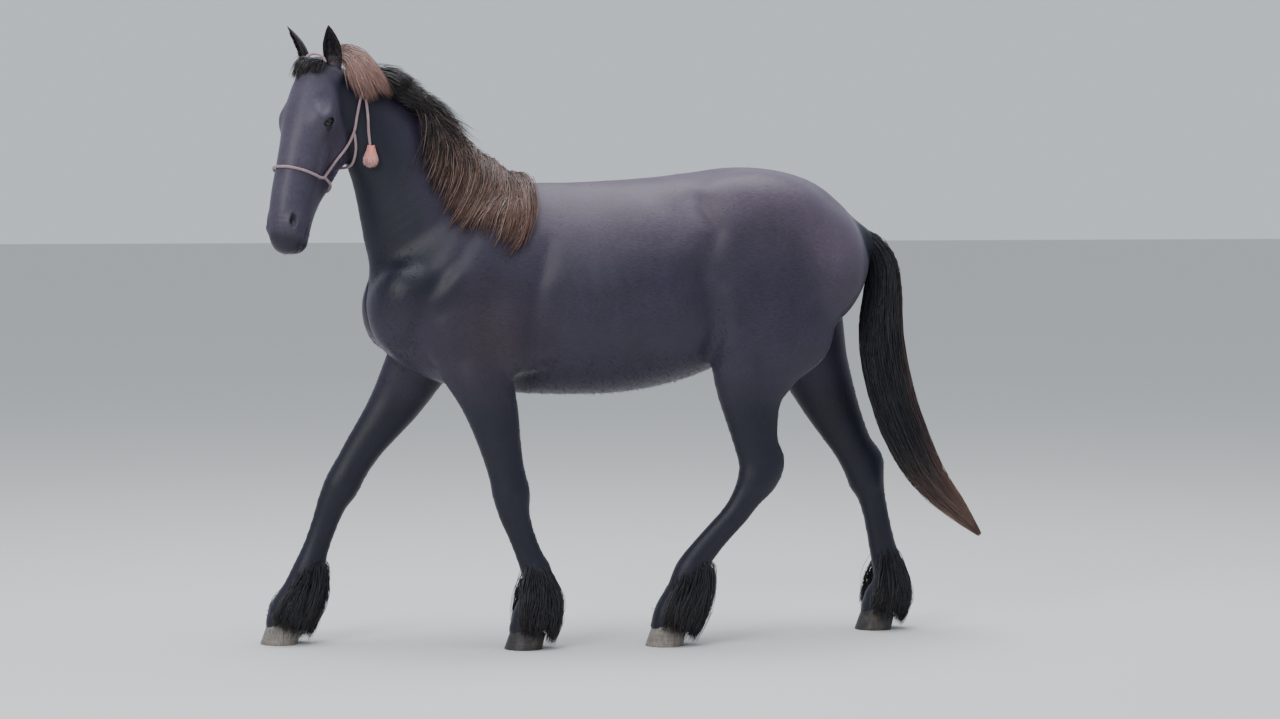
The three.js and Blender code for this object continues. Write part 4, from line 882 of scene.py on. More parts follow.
def shades(random, count, rows, root, tip, turn_at):
    """Colours from the root's to the tip's along each strand, each a little lighter or darker."""
    place = steps(rows) + 0.25 * random.normal(size=(count, 1))
    colour = mix(root, tip, ease(place, turn_at - 0.3, turn_at + 0.3)[..., None])
    return colour * random.uniform(0.65, 1.35, (count, 1, 1))


def waves(random, u, count, low, high):
    """A wave along each strand, with its own length and start."""
    return np.sin(u * random.uniform(low, high, (count, 1)) + random.uniform(0, 6.28, (count, 1)))


# Mane
neck_tube = flesh["neck"][0]
LATTICE_T = np.linspace(0, 1, 61)
FIRST_TURN, LAST_TURN, TURN_STEP = -70, 130, 5
LATTICE_TURN = np.linspace(FIRST_TURN, LAST_TURN, 41)


def neck_ring(t):
    share = np.clip(t, 0, 1) * (len(neck_tube.at) - 1)
    i = np.minimum(share.astype(int), len(neck_tube.at) - 2)
    f = (share - i)[:, None]
    values = neck_tube.at, neck_tube.side, neck_tube.high, neck_tube.size
    return [mix(v[i], v[i + 1], f) for v in values]


def neck_lattice():
    t, turn = (v.ravel() for v in np.meshgrid(LATTICE_T, LATTICE_TURN, indexing="ij"))
    at, side, high, size = neck_ring(t)
    angle = np.radians(turn)[:, None]
    points = at + high * size[:, 1:2] * np.cos(angle) - side * size[:, :1] * np.sin(angle)
    points = settle(flesh["trunk"] + flesh["neck"], points, 0, 4, 90)
    normals = unit(slope_at(flesh["trunk"] + flesh["neck"], points, 60, 8)[1])
    shape = (len(LATTICE_T), len(LATTICE_TURN), 3)
    return points.reshape(shape), normals.reshape(shape)


LATTICE_POINTS, LATTICE_NORMALS = neck_lattice()


def over_neck(t, turn, height):
    """A point over the neck and the skin's direction out: t runs from the poll to the chest, and
    turn is the angle from the crest down the left side."""
    a = np.clip(t, 0, 1) * (len(LATTICE_T) - 1)
    b = np.clip((turn - FIRST_TURN) / TURN_STEP, 0, len(LATTICE_TURN) - 1)
    i = np.minimum(a.astype(int), len(LATTICE_T) - 2)
    j = np.minimum(b.astype(int), len(LATTICE_TURN) - 2)
    f, g = (a - i)[..., None], (b - j)[..., None]

    def between(values):
        upper, lower = (mix(values[i, k], values[i + 1, k], f) for k in (j, j + 1))
        return mix(upper, lower, g)

    normal = unit(between(LATTICE_NORMALS))
    return between(LATTICE_POINTS) + normal * height[..., None], normal


# How locks run from the root: on along the neck, degrees down its left side, and height above the
# skin, for the front of the mane, its hanging rear part and its last locks
FRONT_WAY = [[0, 0, -10], [0.03, 1, 32], [0.075, 3, 56], [0.13, 6, 76], [0.19, 10, 94]]
REAR_WAY = [[0, 0, -10], [0.02, 8, 44], [0.055, 28, 48], [0.1, 52, 30], [0.14, 76, 18]]
LAST_WAY = [[0, 0, -10], [0.03, 6, 34], [0.075, 22, 40], [0.12, 44, 28], [0.15, 66, 18]]


def mane(name, seed):
    random = np.random.default_rng(seed)
    clumps, count, rows = 130, 3600, 9
    clump_t = np.sort(random.uniform(0.10, 0.72, clumps))
    reach = random.uniform(0.72, 1.12, clumps)
    lean = random.normal(0, 5, clumps)
    lift = random.uniform(0.82, 1.04, clumps)
    of = random.integers(0, clumps, count)
    root_t = clump_t[of] + random.normal(0, 0.012, count)
    side = random.normal(0, 7, count)
    u = steps(rows)
    fronts, rears, lasts = (curve(way, u) for way in (FRONT_WAY, REAR_WAY, LAST_WAY))
    hang = ease(clump_t[of] + random.normal(0, 0.03, count), 0.32, 0.48)[:, None, None]
    end = ease(clump_t[of], 0.58, 0.7)[:, None, None]
    way = mix(mix(fronts, rears, hang), lasts, end)
    own = random.uniform(0.82, 1.05, (count, 1))
    gather = ease(u, 0.1, 0.95)[None]
    t = mix(root_t[:, None], clump_t[of][:, None], 0.75 * gather)
    t = t + way[..., 0] * reach[of][:, None] * own
    wave = waves(random, u, count, 5, 9)
    turn = way[..., 1] * own + lean[of][:, None] * u
    turn = turn + side[:, None] * (1 - 0.55 * gather) + 2.2 * wave * u
    height = way[..., 2] * np.where(way[..., 2] > 0, lift[of][:, None], 1)
    depth = random.uniform(0.35, 1.0, (count, 1))
    height = np.where(height > 0, height * mix(depth, 1, 0.25), height)
    height = np.maximum(height + 2.0 * wave * u, np.where(u > 0.08, 4.0, -12))
    paths, normals = over_neck(t, turn, height)
    rear = ease(clump_t[of] + random.normal(0, 0.05, count), 0.34, 0.56)[:, None, None]
    dark = shades(random, count, rows, BLACK * 0.8, UMBER * 0.6, 0.9)
    rusty = shades(random, count, rows, UMBER * 0.9, RUST * 0.85, 0.4)
    pale = (random.random((count, 1, 1)) < 0.16) * rear
    colours = mix(dark, rusty, rear * random.uniform(0.25, 1, (count, 1, 1)))
    colours = mix(colours, BLOND * 0.7 * u[None, :, None], pale)
    roots = np.stack([root_t, np.clip(0.5 + side / 60, 0.02, 0.97)], 1)
    width = random.uniform(1.8, 3.0, count)
    strands(name, paths, normals, width, colours, roots, replaced=("neck",))


# Tail: x, z and radius at places down its middle line
TAIL_WAY = np.array([
    [818, 1290, 22], [874, 1254, 36], [912, 1180, 48], [914, 1080, 60], [908, 960, 68], [935, 800, 70],
    [990, 640, 68], [1065, 500, 56], [1160, 395, 36], [1240, 310, 8],
], float)


def tail_place(t, angle, share):
    centre = curve(TAIL_WAY, t)
    run = curve(TAIL_WAY, t + 0.02) - curve(TAIL_WAY, t - 0.02)
    run = unit(np.stack([run[..., 0], np.zeros_like(t), run[..., 1]], -1))
    out = np.cross(run, [0, 1, 0])
    radius = (share * centre[..., 2])[..., None]
    place = np.stack([centre[..., 0], np.zeros_like(t), centre[..., 1]], -1)
    aside = np.array([0, 1.0, 0])
    direction = out * np.sin(angle)[..., None] + aside * np.cos(angle)[..., None]
    return place + radius * direction, direction


def tail(name, seed):
    random = np.random.default_rng(seed)
    clumps, count, rows = 150, 2600, 12
    clump_angle = random.uniform(0, 2 * math.pi, clumps)
    clump_share = np.sqrt(random.uniform(0.12, 1.0, clumps)) * 0.94
    clump_from = random.uniform(0.0, 0.3, clumps)
    clump_to = np.minimum(random.uniform(0.66, 1.04, clumps), 1.0)
    of = random.integers(0, clumps, count)
    u = steps(rows)[None]
    start = np.clip(clump_from[of] + random.normal(0, 0.02, count), 0, 0.33)[:, None]
    stop = np.clip(clump_to[of] + random.normal(0, 0.035, count), 0.5, 1.0)[:, None]
    t = mix(start, stop, u**0.9)
    wave = waves(random, u, count, 5, 10)
    loose = 1 - 0.7 * ease(u, 0.1, 1.0)
    angle = clump_angle[of][:, None] + random.normal(0, 0.32, (count, 1)) * loose + 0.09 * wave
    share = clump_share[of][:, None] + random.normal(0, 0.12, (count, 1)) * loose
    share = np.clip(share, 0.05, 1.0) * mix(0.35, 1.0, ease(t - start, 0.0, 0.16))
    share = share * (1 + 0.05 * wave)
    paths, normals = tail_place(t, angle, share)
    rear = ease(np.sin(clump_angle[of]) * clump_share[of], 0.25, 0.8)[:, None, None]
    dark = shades(random, count, rows, BLUE_BLACK, BLACK * 1.2, 0.8)
    rusty = shades(random, count, rows, UMBER * 0.5, RUST * 0.9, 0.62)
    colours = mix(dark, rusty, rear * random.uniform(0.0, 0.9, (count, 1, 1)))
    tip = ease(t, 0.66, 0.97)[..., None] * random.uniform(0.2, 1.0, (count, 1, 1))
    ends = mix(RUST * [1.2, 0.95, 0.8], BLOND, random.uniform(0, 0.8, (count, 1, 1)))
    colours = mix(colours, ends * 0.8, tip * 0.9)
    roots = np.stack([start[:, 0] * 3, np.mod(angle[:, 0], 2 * math.pi) / (2 * math.pi)], 1)
    width = random.uniform(1.9, 3.2, count)
    strands(name, paths, normals, width, colours, roots, replaced=("tail",))


# Feather: long hair round the back of the shank and down over the hoof. The spread is in degrees
# to each side of straight back, and the tops and feet are heights of the clumps.
FEATHER_SPREAD = 122
FEATHER_TOP = (112, 248)
FEATHER_FOOT = (12, 52)
FOOT_LENGTH = 62


def feather(name, seed):
    side, hoof, stations = LEGS[name]
    random = np.random.default_rng(seed)
    table = np.array(stations, float)[::-1]
    clumps, count, rows = 120, 2300, 8
    clump_angle = random.uniform(-FEATHER_SPREAD, FEATHER_SPREAD, clumps)
    clump_top = random.uniform(*FEATHER_TOP, clumps)
    clump_flare = random.uniform(0, 1, clumps)
    clump_foot = random.uniform(*FEATHER_FOOT, clumps)
    of = random.integers(0, clumps, count)
    angle_root = np.radians(clump_angle[of] + random.normal(0, 12, count))
    angle_foot = np.radians(clump_angle[of] + random.normal(0, 4, count))
    top = np.clip(clump_top[of] + random.normal(0, 14, count), 100, 262)
    x, w, back = (np.interp(top, table[:, 1], table[:, k]) for k in (0, 2, 3))
    reach = np.hypot(np.cos(angle_root) * back, np.sin(angle_root) * w)
    depth = random.uniform(0, 1, count)
    flare = 8 + 14 * np.cos(angle_foot) + 8 * clump_flare[of] + random.normal(0, 3, count)
    foot = clump_foot[of] + 26 * (1 - np.cos(angle_foot)) + random.normal(0, 9, count)
    foot = np.clip(foot, 4, 120)
    y = np.full(count, float(side))
    ground = np.stack([np.full(count, hoof + 10.0), y, np.zeros(count)], 1)
    at = np.stack([x, y, top], 1)

    def out(angle):
        return np.stack([np.cos(angle), np.sin(angle), np.zeros(count)], 1)

    def row(centre, angle, distance, z):
        p = centre + out(angle) * distance[:, None]
        p[:, 2] = z
        return p

    radius = FOOT_LENGTH + 6 + 14 * depth
    middle = (angle_root + angle_foot) / 2
    control = np.stack([
        row(at, angle_root, reach - 5, top),
        row(at, angle_root, reach + 6 + 10 * depth, top - 22),
        row(mix(at, ground, 0.45), middle, radius * 0.88 + flare, mix(top, foot, 0.5)),
        row(ground, angle_foot, radius * 0.9 + flare * 0.45, foot),
    ])
    u = steps(rows)
    paths = curve(control.reshape(4, -1), u).reshape(rows, count, 3).transpose(1, 0, 2)
    wave = waves(random, u, count, 4, 8)
    paths[..., :2] += (1.5 * wave * u)[..., None] * random.normal(0, 1, (count, 1, 2))
    paths[..., 2] = np.maximum(paths[..., 2], 3)
    normals = np.broadcast_to(out(middle)[:, None], paths.shape)
    colours = shades(random, count, rows, BLUE_BLACK, BLACK, 0.75)
    rusty = (random.random((count, 1, 1)) < 0.10) * ease(u, 0.4, 1)[None, :, None]
    colours = mix(colours, RUST * 0.25, rusty)
    roots = np.stack([0.5 + angle_root / (2.6 * math.pi), (top - 90) / 180], 1)
    width = random.uniform(1.8, 2.8, count)
    strands(f"feather_{name}", paths, normals, width, colours, roots, replaced=(f"leg_{name}",))


def spread_along(guides, facing, count, rows, seed, wide, deep, drawn, shortest):
    """Strands scattered round guide lines, drawn together towards their tips."""
    random = np.random.default_rng(seed)
    of = random.integers(0, len(guides), count)
    u = steps(rows)
    lines = np.stack([curve(g, u) for g in guides])[of]
    normals = np.stack([curve(n, u) for n in facing])[of]
    run = unit(np.gradient(lines, axis=1))
    up = unit(normals - run * (normals * run).sum(-1, keepdims=True))
    across = np.cross(run, up)
    draw = (1 - drawn * ease(u, 0.3, 1.0))[None, :, None]
    wave = waves(random, u, count, 4, 9)[..., None]
    a = random.normal(0, wide, (count, 1, 1))
    b = random.uniform(-deep, deep, (count, 1, 1))
    shorten = random.uniform(shortest, 1.0, (count, 1))
    aside = a * draw + 1.5 * wave * u[None, :, None]
    paths = lines + across * aside + up * (b * ease(u, 0, 0.3)[None, :, None])
    short = paths.copy()
    for k in range(rows):
        place = shorten[:, 0] * k
        i = np.minimum(place.astype(int), rows - 2)
        f = (place - i)[:, None]
        short[:, k] = mix(paths[np.arange(count), i], paths[np.arange(count), i + 1], f)
    column = (of + 0.5 + a[:, 0, 0] / (8 * wide)) / len(guides)
    roots = np.stack([column, 0.5 + b[:, 0, 0] / (2.5 * deep)], 1)
    return random, short, up, roots


# Each lock of the forelock: along the head, to its left, and height above the skin
FORELOCK_WAYS = [
    [[4, 14, -26], [-6, 8, 10], [18, -2, 9], [54, -14, 5]],
    [[6, 4, -28], [-8, -4, 11], [22, -22, 9], [66, -34, 5]],
    [[8, -6, -28], [-6, -16, 11], [24, -38, 9], [70, -54, 5]],
    [[10, -14, -30], [-2, -26, 10], [26, -52, 8], [60, -72, 5]],
    [[14, 18, -24], [2, 20, 10], [28, 14, 8], [64, 6, 5]],
    [[12, 24, -26], [2, 34, 10], [26, 42, 8], [50, 44, 5]],
    [[12, 34, -34], [6, 46, 10], [26, 58, 8], [44, 62, 5]],
    [[16, -2, -26], [6, -8, 10], [36, -20, 8], [84, -28, 5]],
]


def forelock():
    guides, facing = [], []
    for way in FORELOCK_WAYS:
        l, s, h = np.array(way, float).T
        points = head.place(l, s, np.where(np.arange(4) == 0, h, 10))
        points[1:] = settle(flesh["neck"] + flesh["head"], points[1:], h[1:])
        guides.append(points)
        facing.append(np.stack([mix(-head.x, head.z, min(i / 2, 1)) for i in range(4)]))
    count, rows = 1300, 8
    random, paths, normals, roots = spread_along(guides, facing, count, rows, 21, 12, 4, 0.3, 0.45)
    colours = shades(random, count, rows, BLACK * 0.8, UMBER * 0.6, 0.9)
    width = random.uniform(1.4, 2.4, count)
    strands("forelock", paths, normals, width, colours, roots, replaced=("head",))


# The mane's first lock is thrown over the left ear's foot and fans out on the neck
TUFT_START = [[-858, -67, 1795], [-832, -68, 1836], [-798, -88, 1812]]
TUFT_ENDS = [[-782, -108, 1716], [-760, -116, 1688], [-736, -118, 1676], [-712, -110, 1684],
             [-688, -98, 1700], [-660, -92, 1690]]
TUFT_TIP = np.array([0.30, 0.175, 0.150])


def tuft():
    guides, facing = [], []
    for i, end in enumerate(TUFT_ENDS):
        start = np.array(TUFT_START, float) + [[0, 0, 0], [3 * i, 0, 0], [7 * i, 0, 3 * i]]
        guides.append(np.array([*start, mix(start[-1], np.array(end), 0.55) - [0, 10, -6], end]))
        facing.append(np.tile([0.25, -1, 0.35], (5, 1)))
    count, rows = 1900, 9
    random, paths, normals, roots = spread_along(guides, facing, count, rows, 22, 10, 7, 0.15, 0.62)
    colours = shades(random, count, rows, RUST * 0.4, TUFT_TIP, 0.38)
    width = random.uniform(1.3, 2.3, count)
    strands("tuft", paths, normals, width, colours, roots, replaced=("head",))


FRINGE_LENGTH = (5, 10)


def fringe_weight(normals, face):
    """How thick the fringe stands at each point of the skin."""
    x, _, z = skin_points.T
    l, _, d = head.inside(skin_points)
    under = (np.abs(x - 20) < 270) * (normals[:, 2] < -0.4)
    belly = ease(930 - z, 0, 60) * ease(z, 740, 790) * under
    back_of = (z > 250) * (z < 860) * (normals[:, 0] > 0.75)
    stifle = np.exp(-((x - 320) / 60) ** 2 - ((z - 930) / 90) ** 2)
    elbow = np.exp(-((x + 262) / 40) ** 2 - ((z - 830) / 80) ** 2)
    chest = (x < -600) * (z > 820) * (z < 1250) * (x > -720)
    jaw = face * ((d < -185) + 0.8 * (l > along(520)) * (d < -120))
    return belly + 0.5 * back_of + stifle + elbow + 0.5 * chest + 2.5 * jaw + 0.02


def fringe():
    """Short hairs where the coat breaks the form: jaw, chest, belly, elbow, stifle and legs."""
    random = np.random.default_rng(51)
    count, rows = 9500, 4
    normals = vertex_normals(skin_points, skin_faces)
    face = on_head(skin_points)
    weight = fringe_weight(normals, face)
    corner = skin_points[skin_faces]
    first = corner[:, 0]
    area = np.linalg.norm(np.cross(corner[:, 1] - first, corner[:, 2] - first), axis=1)
    chance = area * weight[skin_faces].mean(1) * (eye_distance(corner.mean(1)) > 40)
    chosen = random.choice(len(skin_faces), count, p=chance / chance.sum())
    share = random.dirichlet((1, 1, 1), count)[..., None]
    root = (corner[chosen] * share).sum(1)
    normal = unit((normals[skin_faces[chosen]] * share).sum(1))
    on_face = face[skin_faces[chosen, 0]][:, None]
    low = ease(900 - root[:, 2], 0, 150)[:, None]
    flow = mix(np.array([0.75, 0, -0.6]), np.array([0.1, 0, -1]), low)
    flow = mix(flow, head.x - 0.2 * head.z, on_face)
    flow = flow - normal * (flow * normal).sum(1, keepdims=True)
    flow = unit(flow + random.normal(0, 0.12, (count, 3)))
    length = random.uniform(*FRINGE_LENGTH, (count, 1, 1)) * mix(1, 0.8, on_face)[:, None]
    u = steps(rows)[None, :, None]
    lift = random.uniform(0.16, 0.34, (count, 1, 1))
    paths = root[:, None] + length * (flow[:, None] * u + normal[:, None] * lift * (u * 1.2 - 0.12))
    # The skin's colours at each root, painted sheen and shade included
    tone = skin_colours(root)[0][:, None] * random.uniform(0.8, 1.4, (count, 1, 1))
    colours = np.broadcast_to(tone, (count, rows, 3))
    half = 0.5 * (root[:, 1] > 0)
    roots = np.stack([(root[:, 0] + 1150) / 2300, root[:, 2] / 1900 * 0.49 + half], 1)
    facing = np.broadcast_to(normal[:, None], paths.shape)
    strands("fringe", paths, facing, random.uniform(0.7, 1.1, count), colours, roots, slot="coat")


mane("mane_a", 31)
mane("mane_b", 32)
for i, name in enumerate(("tail_a", "tail_b", "tail_c")):
    tail(name, 41 + i)
for i, name in enumerate(LEGS):
    feather(name, 60 + i)
forelock()
tuft()
fringe()


# Ears: share of the length, half width, depth of the back and of the cup
EAR_BEND = 10
EAR_ROWS = [
    [0, 21, 19, -17], [0.12, 24, 20, -13], [0.22, 26, 21, -5], [0.32, 28, 21, 5], [0.45, 28.5, 19, 12],
    [0.6, 26, 16, 11.5], [0.74, 19, 12, 8.5], [0.88, 11, 7, 4.5], [0.96, 4.5, 3.5, 1.5], [1, 1, 1, 0.2],
]


def loft(rings):
    """A closed skin over rings of points, with ends filled."""
    count, sides = rings.shape[:2]
    j = np.arange(sides)
    n = (j + 1) % sides
    i = np.arange(count - 1)[:, None] * sides
    a, b = i + j, i + n
    triangles = (a, b, a + sides), (b, b + sides, a + sides)
    faces = [np.stack([v.ravel() for v in corners], 1) for corners in triangles]
    hub, last = count * sides, (count - 1) * sides
    faces.append(np.stack([np.full(sides, hub), n, j], 1))
    faces.append(np.stack([np.full(sides, hub + 1), last + j, last + n], 1))
    faces = np.concatenate(faces)
    points = np.concatenate([rings.reshape(-1, 3), rings[:1].mean(1), rings[-1:].mean(1)])
    p = points - points.mean(0)
    volume = (p[faces[:, 0]] * np.cross(p[faces[:, 1]], p[faces[:, 2]])).sum()
    return points, faces if volume > 0 else faces[:, ::-1]


def ear_shape(side):
    base, tip = head.place(20, side * 54, -74), head.place(-88, side * 80, 36)
    up = unit(tip - base)
    facing = 0.2 * head.x + side * 0.5 * head.y + 0.84 * head.z
    facing = unit(facing - up * (facing @ up))
    return base, up, facing, np.cross(up, facing), np.linalg.norm(tip - base)


def ear(side, name):
    base, up, facing, across, length = ear_shape(side)

    def middle(v):
        return base + up * (v * length)[:, None] - facing * (EAR_BEND * np.sin(np.pi * v))[:, None]

    v = np.linspace(0, 1, 34)
    table = np.array(EAR_ROWS)
    w, back, cup = (np.interp(v, table[:, 0], table[:, k]) for k in (1, 2, 3))

    def arc(angles, depth):
        a = angles[None, :, None]
        return (middle(v)[:, None] + across * (w[:, None, None] * np.cos(a))
                - facing * (depth[:, None, None] * np.sin(a)))

    outer = arc(np.linspace(0, np.pi, 26), back)
    inner = arc(np.linspace(np.pi, 0, 22)[1:-1], cup)
    points, faces = loft(np.concatenate([outer, inner], 1))
    thing = make_object(name, points, faces)
    add_colours(thing, np.tile(SHOULDER * 0.6, (len(points), 1)))
    add_numbers(thing, "legs", np.ones(len(points)))
    dress(thing, coat, "coat", name)
    ear_hair(side, name, table, middle, (up, facing, across))


def ear_hair(side, name, table, middle, axes):
    """Hair in the cup of an ear and along its rims."""
    up, facing, across = axes
    count, rows = 420, 6
    random = np.random.default_rng(70 + side)
    rise = random.uniform(0.18, 0.8, count)
    angle = random.uniform(0.12, np.pi - 0.12, count)
    rim = random.random(count) < 0.5
    angle = np.where(rim, np.where(random.random(count) < 0.5, 0.08, np.pi - 0.08), angle)
    wide, deep = (np.interp(rise, table[:, 0], table[:, k]) for k in (1, 3))
    root = (middle(rise) + across * (wide * np.cos(angle))[:, None]
            - facing * ((deep - 1) * np.sin(angle))[:, None])
    reach = random.uniform(9, 20, count)[:, None]
    inward = -across * np.cos(angle)[:, None] * 0.75
    way = facing * random.uniform(0.25, 0.6, (count, 1)) + inward
    way = unit(way + up * random.uniform(0.5, 1.1, (count, 1)))
    u = steps(rows)
    paths = root[:, None] + way[:, None] * (reach * u)[..., None] + up * (6 * u**2)[None, :, None]
    normals = np.broadcast_to(facing, paths.shape)
    colours = shades(random, count, rows, BROWN_BLACK * 0.6, UMBER * 0.6, 0.8)
    roots = np.stack([rise, angle / np.pi * 0.95], 1)
    width = random.uniform(0.9, 1.5, count)
    strands(f"{name}_hair", paths, normals, width, colours, roots, slot="coat")


ear(1, "ear_left")
ear(-1, "ear_right")


# Eyes
def eye_material():
    m = Nodes("eye", Roughness=0.08, Specular_IOR_Level=0.4, Coat_Weight=0.12, Coat_Roughness=0.02)
    radius = m.add("Attribute", attribute_name="iris").outputs["Fac"]
    streaks = m.noise((900, 900, 900), 1.0, 4, 0.7)
    iris = m.ramp(streaks, [(0.3, (0.005, 0.003, 0.002)), (0.7, (0.018, 0.008, 0.005))])
    stops = ((0.0, 0.0), (0.30, 0.02), (0.36, 0.9), (0.82, 1.0), (0.92, 0.15))
    rings = m.ramp(radius, [(place, grey(light)) for place, light in stops])
    m.put(m.shader, "Base Color", m.times(iris, rings))
    return m.material


eye_stuff = eye_material()
CORNEA = 1.3
IRIS_RADIUS, IRIS_STRETCH = 15, 1.35


def eye(side, name):
    """A ball with a raised cornea, and the iris as a long oval across it."""
    centre = eye_centre(side)
    theta = np.linspace(0.001, np.pi - 0.001, 40)[:, None]
    phi = round_angles(56)[None]
    tilt = math.radians(LID_TILT)
    out, long = side * head.y, math.cos(tilt) * head.x - math.sin(tilt) * head.z
    short = np.cross(out, long)
    bulge = EYE_RADIUS + CORNEA * ease(np.cos(theta), 0.76, 0.95)
    points = (centre + (bulge * np.cos(theta) * np.ones_like(phi))[..., None] * out
              + (bulge * np.sin(theta) * np.cos(phi))[..., None] * long
              + (bulge * np.sin(theta) * np.sin(phi))[..., None] * short)
    points, faces = loft(points)
    thing = make_object(name, points, faces)
    p = points - centre
    a, b, c = p @ out, p @ long, p @ short
    radius = np.hypot(b / IRIS_STRETCH, c * IRIS_STRETCH) / IRIS_RADIUS
    add_numbers(thing, "iris", np.where(a > 0, np.clip(radius, 0, 1), 1))
    dress(thing, eye_stuff, "eye", name)


eye(1, "eye_left")
eye(-1, "eye_right")


# Hooves
EARTH = (0.16, 0.12, 0.085, 1)


def horn_material(name, dark, light):
    m = Nodes(name, Roughness=0.5, Specular_IOR_Level=0.45)
    lines = m.noise((260, 260, 14), 1.0, 4, 0.6)
    rings = m.noise((12, 12, 150), 1.0, 2, 0.5)
    dirt = m.noise(EVEN, 30, 4, 0.65)
    colour = m.ramp(lines, [(0.3, dark), (0.7, light)])
    colour = m.times(colour, m.greys(rings, 0.3, 0.8, 0.7, 1.15))
    colour = m.blend(m.greys(dirt, 0.52, 0.0, 0.7, 0.35), colour, EARTH)
    m.put(m.shader, "Base Color", colour)
    m.put(m.shader, "Roughness", m.greys(dirt, 0.3, 0.42, 0.7, 0.68))
    m.put(m.shader, "Normal", m.bump(lines, 0.0008, 0.5, m.bump(rings, 0.0015, 0.6)))
    return m.material


pale_horn = horn_material("horn_pale", (0.10, 0.09, 0.085), (0.26, 0.235, 0.21))
dark_horn = horn_material("horn_dark", (0.012, 0.011, 0.012), (0.04, 0.036, 0.036))


# Share of the height, half length, half width and shift back
HOOF_ROWS = [
    [0, 61, 59.5, 0], [0.02, 62, 60, 0], [0.09, 60.5, 59.4, 1],
    [0.82, 54, 53.4, 15.5], [0.93, 52.6, 51.8, 17.6], [1.0, 49.5, 48.5, 18],
]
PALE_HOOVES = ("fore_right", "hind_left")


def hoof(name):
    side, x, _ = LEGS[name]
    top_shift, toe, heel, top_length = 18, 78, 46, 52
    slope = (heel - toe) / (2 * top_length)
    table = np.array(HOOF_ROWS)
    v = np.linspace(0, 1, 30)
    length, width, shift = (np.interp(v, table[:, 0], table[:, k]) for k in (1, 2, 3))
    ripple = 0.35 * np.sin(v * 58) * (v > 0.1) * (v < 0.85)
    angle = round_angles(64)
    rear = np.where(np.cos(angle) > 0, 0.92, 1.0)
    groove = 1 - 0.05 * np.exp(-(((angle + np.pi) % (2 * np.pi) - np.pi) / 0.16) ** 2)
    dx = (length + ripple)[:, None] * (np.cos(angle) * rear * groove)[None] + shift[:, None]
    dy = (width + ripple)[:, None] * np.sin(angle)[None]
    coronet = (toe + heel) / 2 + slope * (dx - top_shift)
    rings = np.stack([x + dx, side + dy, v[:, None] * (coronet - 0.2)], -1)
    points, faces = loft(rings)
    thing = make_object(f"hoof_{name}", points, faces)
    dress(thing, pale_horn if name in PALE_HOOVES else dark_horn, "horn", f"hoof_{name}")


for name in LEGS:
    hoof(name)


# Rope halter, with a dusty bloom on the worn places
DUST = (0.45, 0.36, 0.38, 1)


def rope_material():
    m = Nodes("rope", Roughness=0.72, Specular_IOR_Level=0.3, Sheen_Weight=0.35,
              Sheen_Roughness=0.5)
    fibres = m.noise((900, 900, 900), 1.0, 3, 0.6)
    worn = m.noise(EVEN, 40, 3, 0.6)
    colour = m.times(m.colours(), m.greys(fibres, 0.3, 0.7, 0.7, 1.25))
    colour = m.blend(m.greys(worn, 0.45, 0.0, 0.75, 0.4), colour, DUST)
    m.put(m.shader, "Base Color", colour)
    m.put(m.shader, "Normal", m.bump(fibres, 0.0006, 0.7))
    return m.material


rope_stuff = rope_material()
PINK = np.array([0.30, 0.20, 0.22])
CORAL = np.array([0.72, 0.20, 0.14])
PALE_CORAL = np.array([0.80, 0.42, 0.38])


LINE_STEP = 3.0
LINE_SAMPLES = 4000


def smooth_line(points, closed):
    """A smooth line through points in even steps, and its length."""
    u = np.linspace(0, 1, LINE_SAMPLES)
    if closed:
        points = np.concatenate([points[-2:], points, points[:3]])
        u = np.linspace(2, len(points) - 3, LINE_SAMPLES) / (len(points) - 1)
    line = curve(points, u)
    run = np.append(0, np.cumsum(np.linalg.norm(np.diff(line, axis=0), axis=1)))
    places = np.linspace(0, run[-1], int(run[-1] / LINE_STEP) + 1)
    line = np.stack([np.interp(places, run, line[:, k]) for k in range(3)], 1)
    return (line[:-1] if closed else line), run[-1]


# Plies, the length of one turn, and each ply's place and radius as shares of the rope's radius
PLIES, LAY_LENGTH, PLY_PLACE, PLY_RADIUS = 3, 26, 0.46, 0.54


def twisted(name, points, colour, replaced, closed=False):
    """A rope of plies laid round one another."""
    line, length = smooth_line(points, closed)
    ahead = unit(np.roll(line, -1, 0) - np.roll(line, 1, 0))
    if not closed:
        ahead[0], ahead[-1] = unit(line[1] - line[0]), unit(line[-1] - line[-2])
    normal = unit(np.cross(ahead[0], [0.3, 0.2, 0.9]))
    frames = []
    for a in ahead:
        normal = unit(normal - a * (normal @ a))
        frames.append(normal)
    up = np.array(frames)
    across = np.cross(ahead, up)
    turns = round(length / LAY_LENGTH)
    phase = 2 * np.pi * turns * np.arange(len(line)) / (len(line) if closed else len(line) - 1)
    if closed:
        gap = math.atan2(np.dot(np.cross(up[0], up[-1]), ahead[0]), float(np.dot(up[0], up[-1])))
        phase = phase - gap * np.arange(len(line)) / len(line)
    cosine, sine = (f(round_angles(8))[None, :, None] for f in (np.cos, np.sin))
    points, faces = np.empty((0, 3)), np.empty((0, 3), int)
    for ply in range(PLIES):
        a = phase + ply * 2 * np.pi / PLIES
        lay = up * np.cos(a)[:, None] + across * np.sin(a)[:, None]
        centre = line + lay * ROPE_RADIUS * PLY_PLACE
        ring = cosine * lay[:, None] + sine * np.cross(ahead, lay)[:, None]
        rings = centre[:, None] + ROPE_RADIUS * PLY_RADIUS * ring
        if closed:
            rings = np.concatenate([rings, rings[:1]])
        ply_points, ply_faces = loft(rings)
        faces = np.concatenate([faces, ply_faces + len(points)])
        points = np.concatenate([points, ply_points])
    thing = make_object(name, points, faces)
    add_colours(thing, np.tile(colour, (len(points), 1)))
    dress(thing, rope_stuff, "rope", replaced)


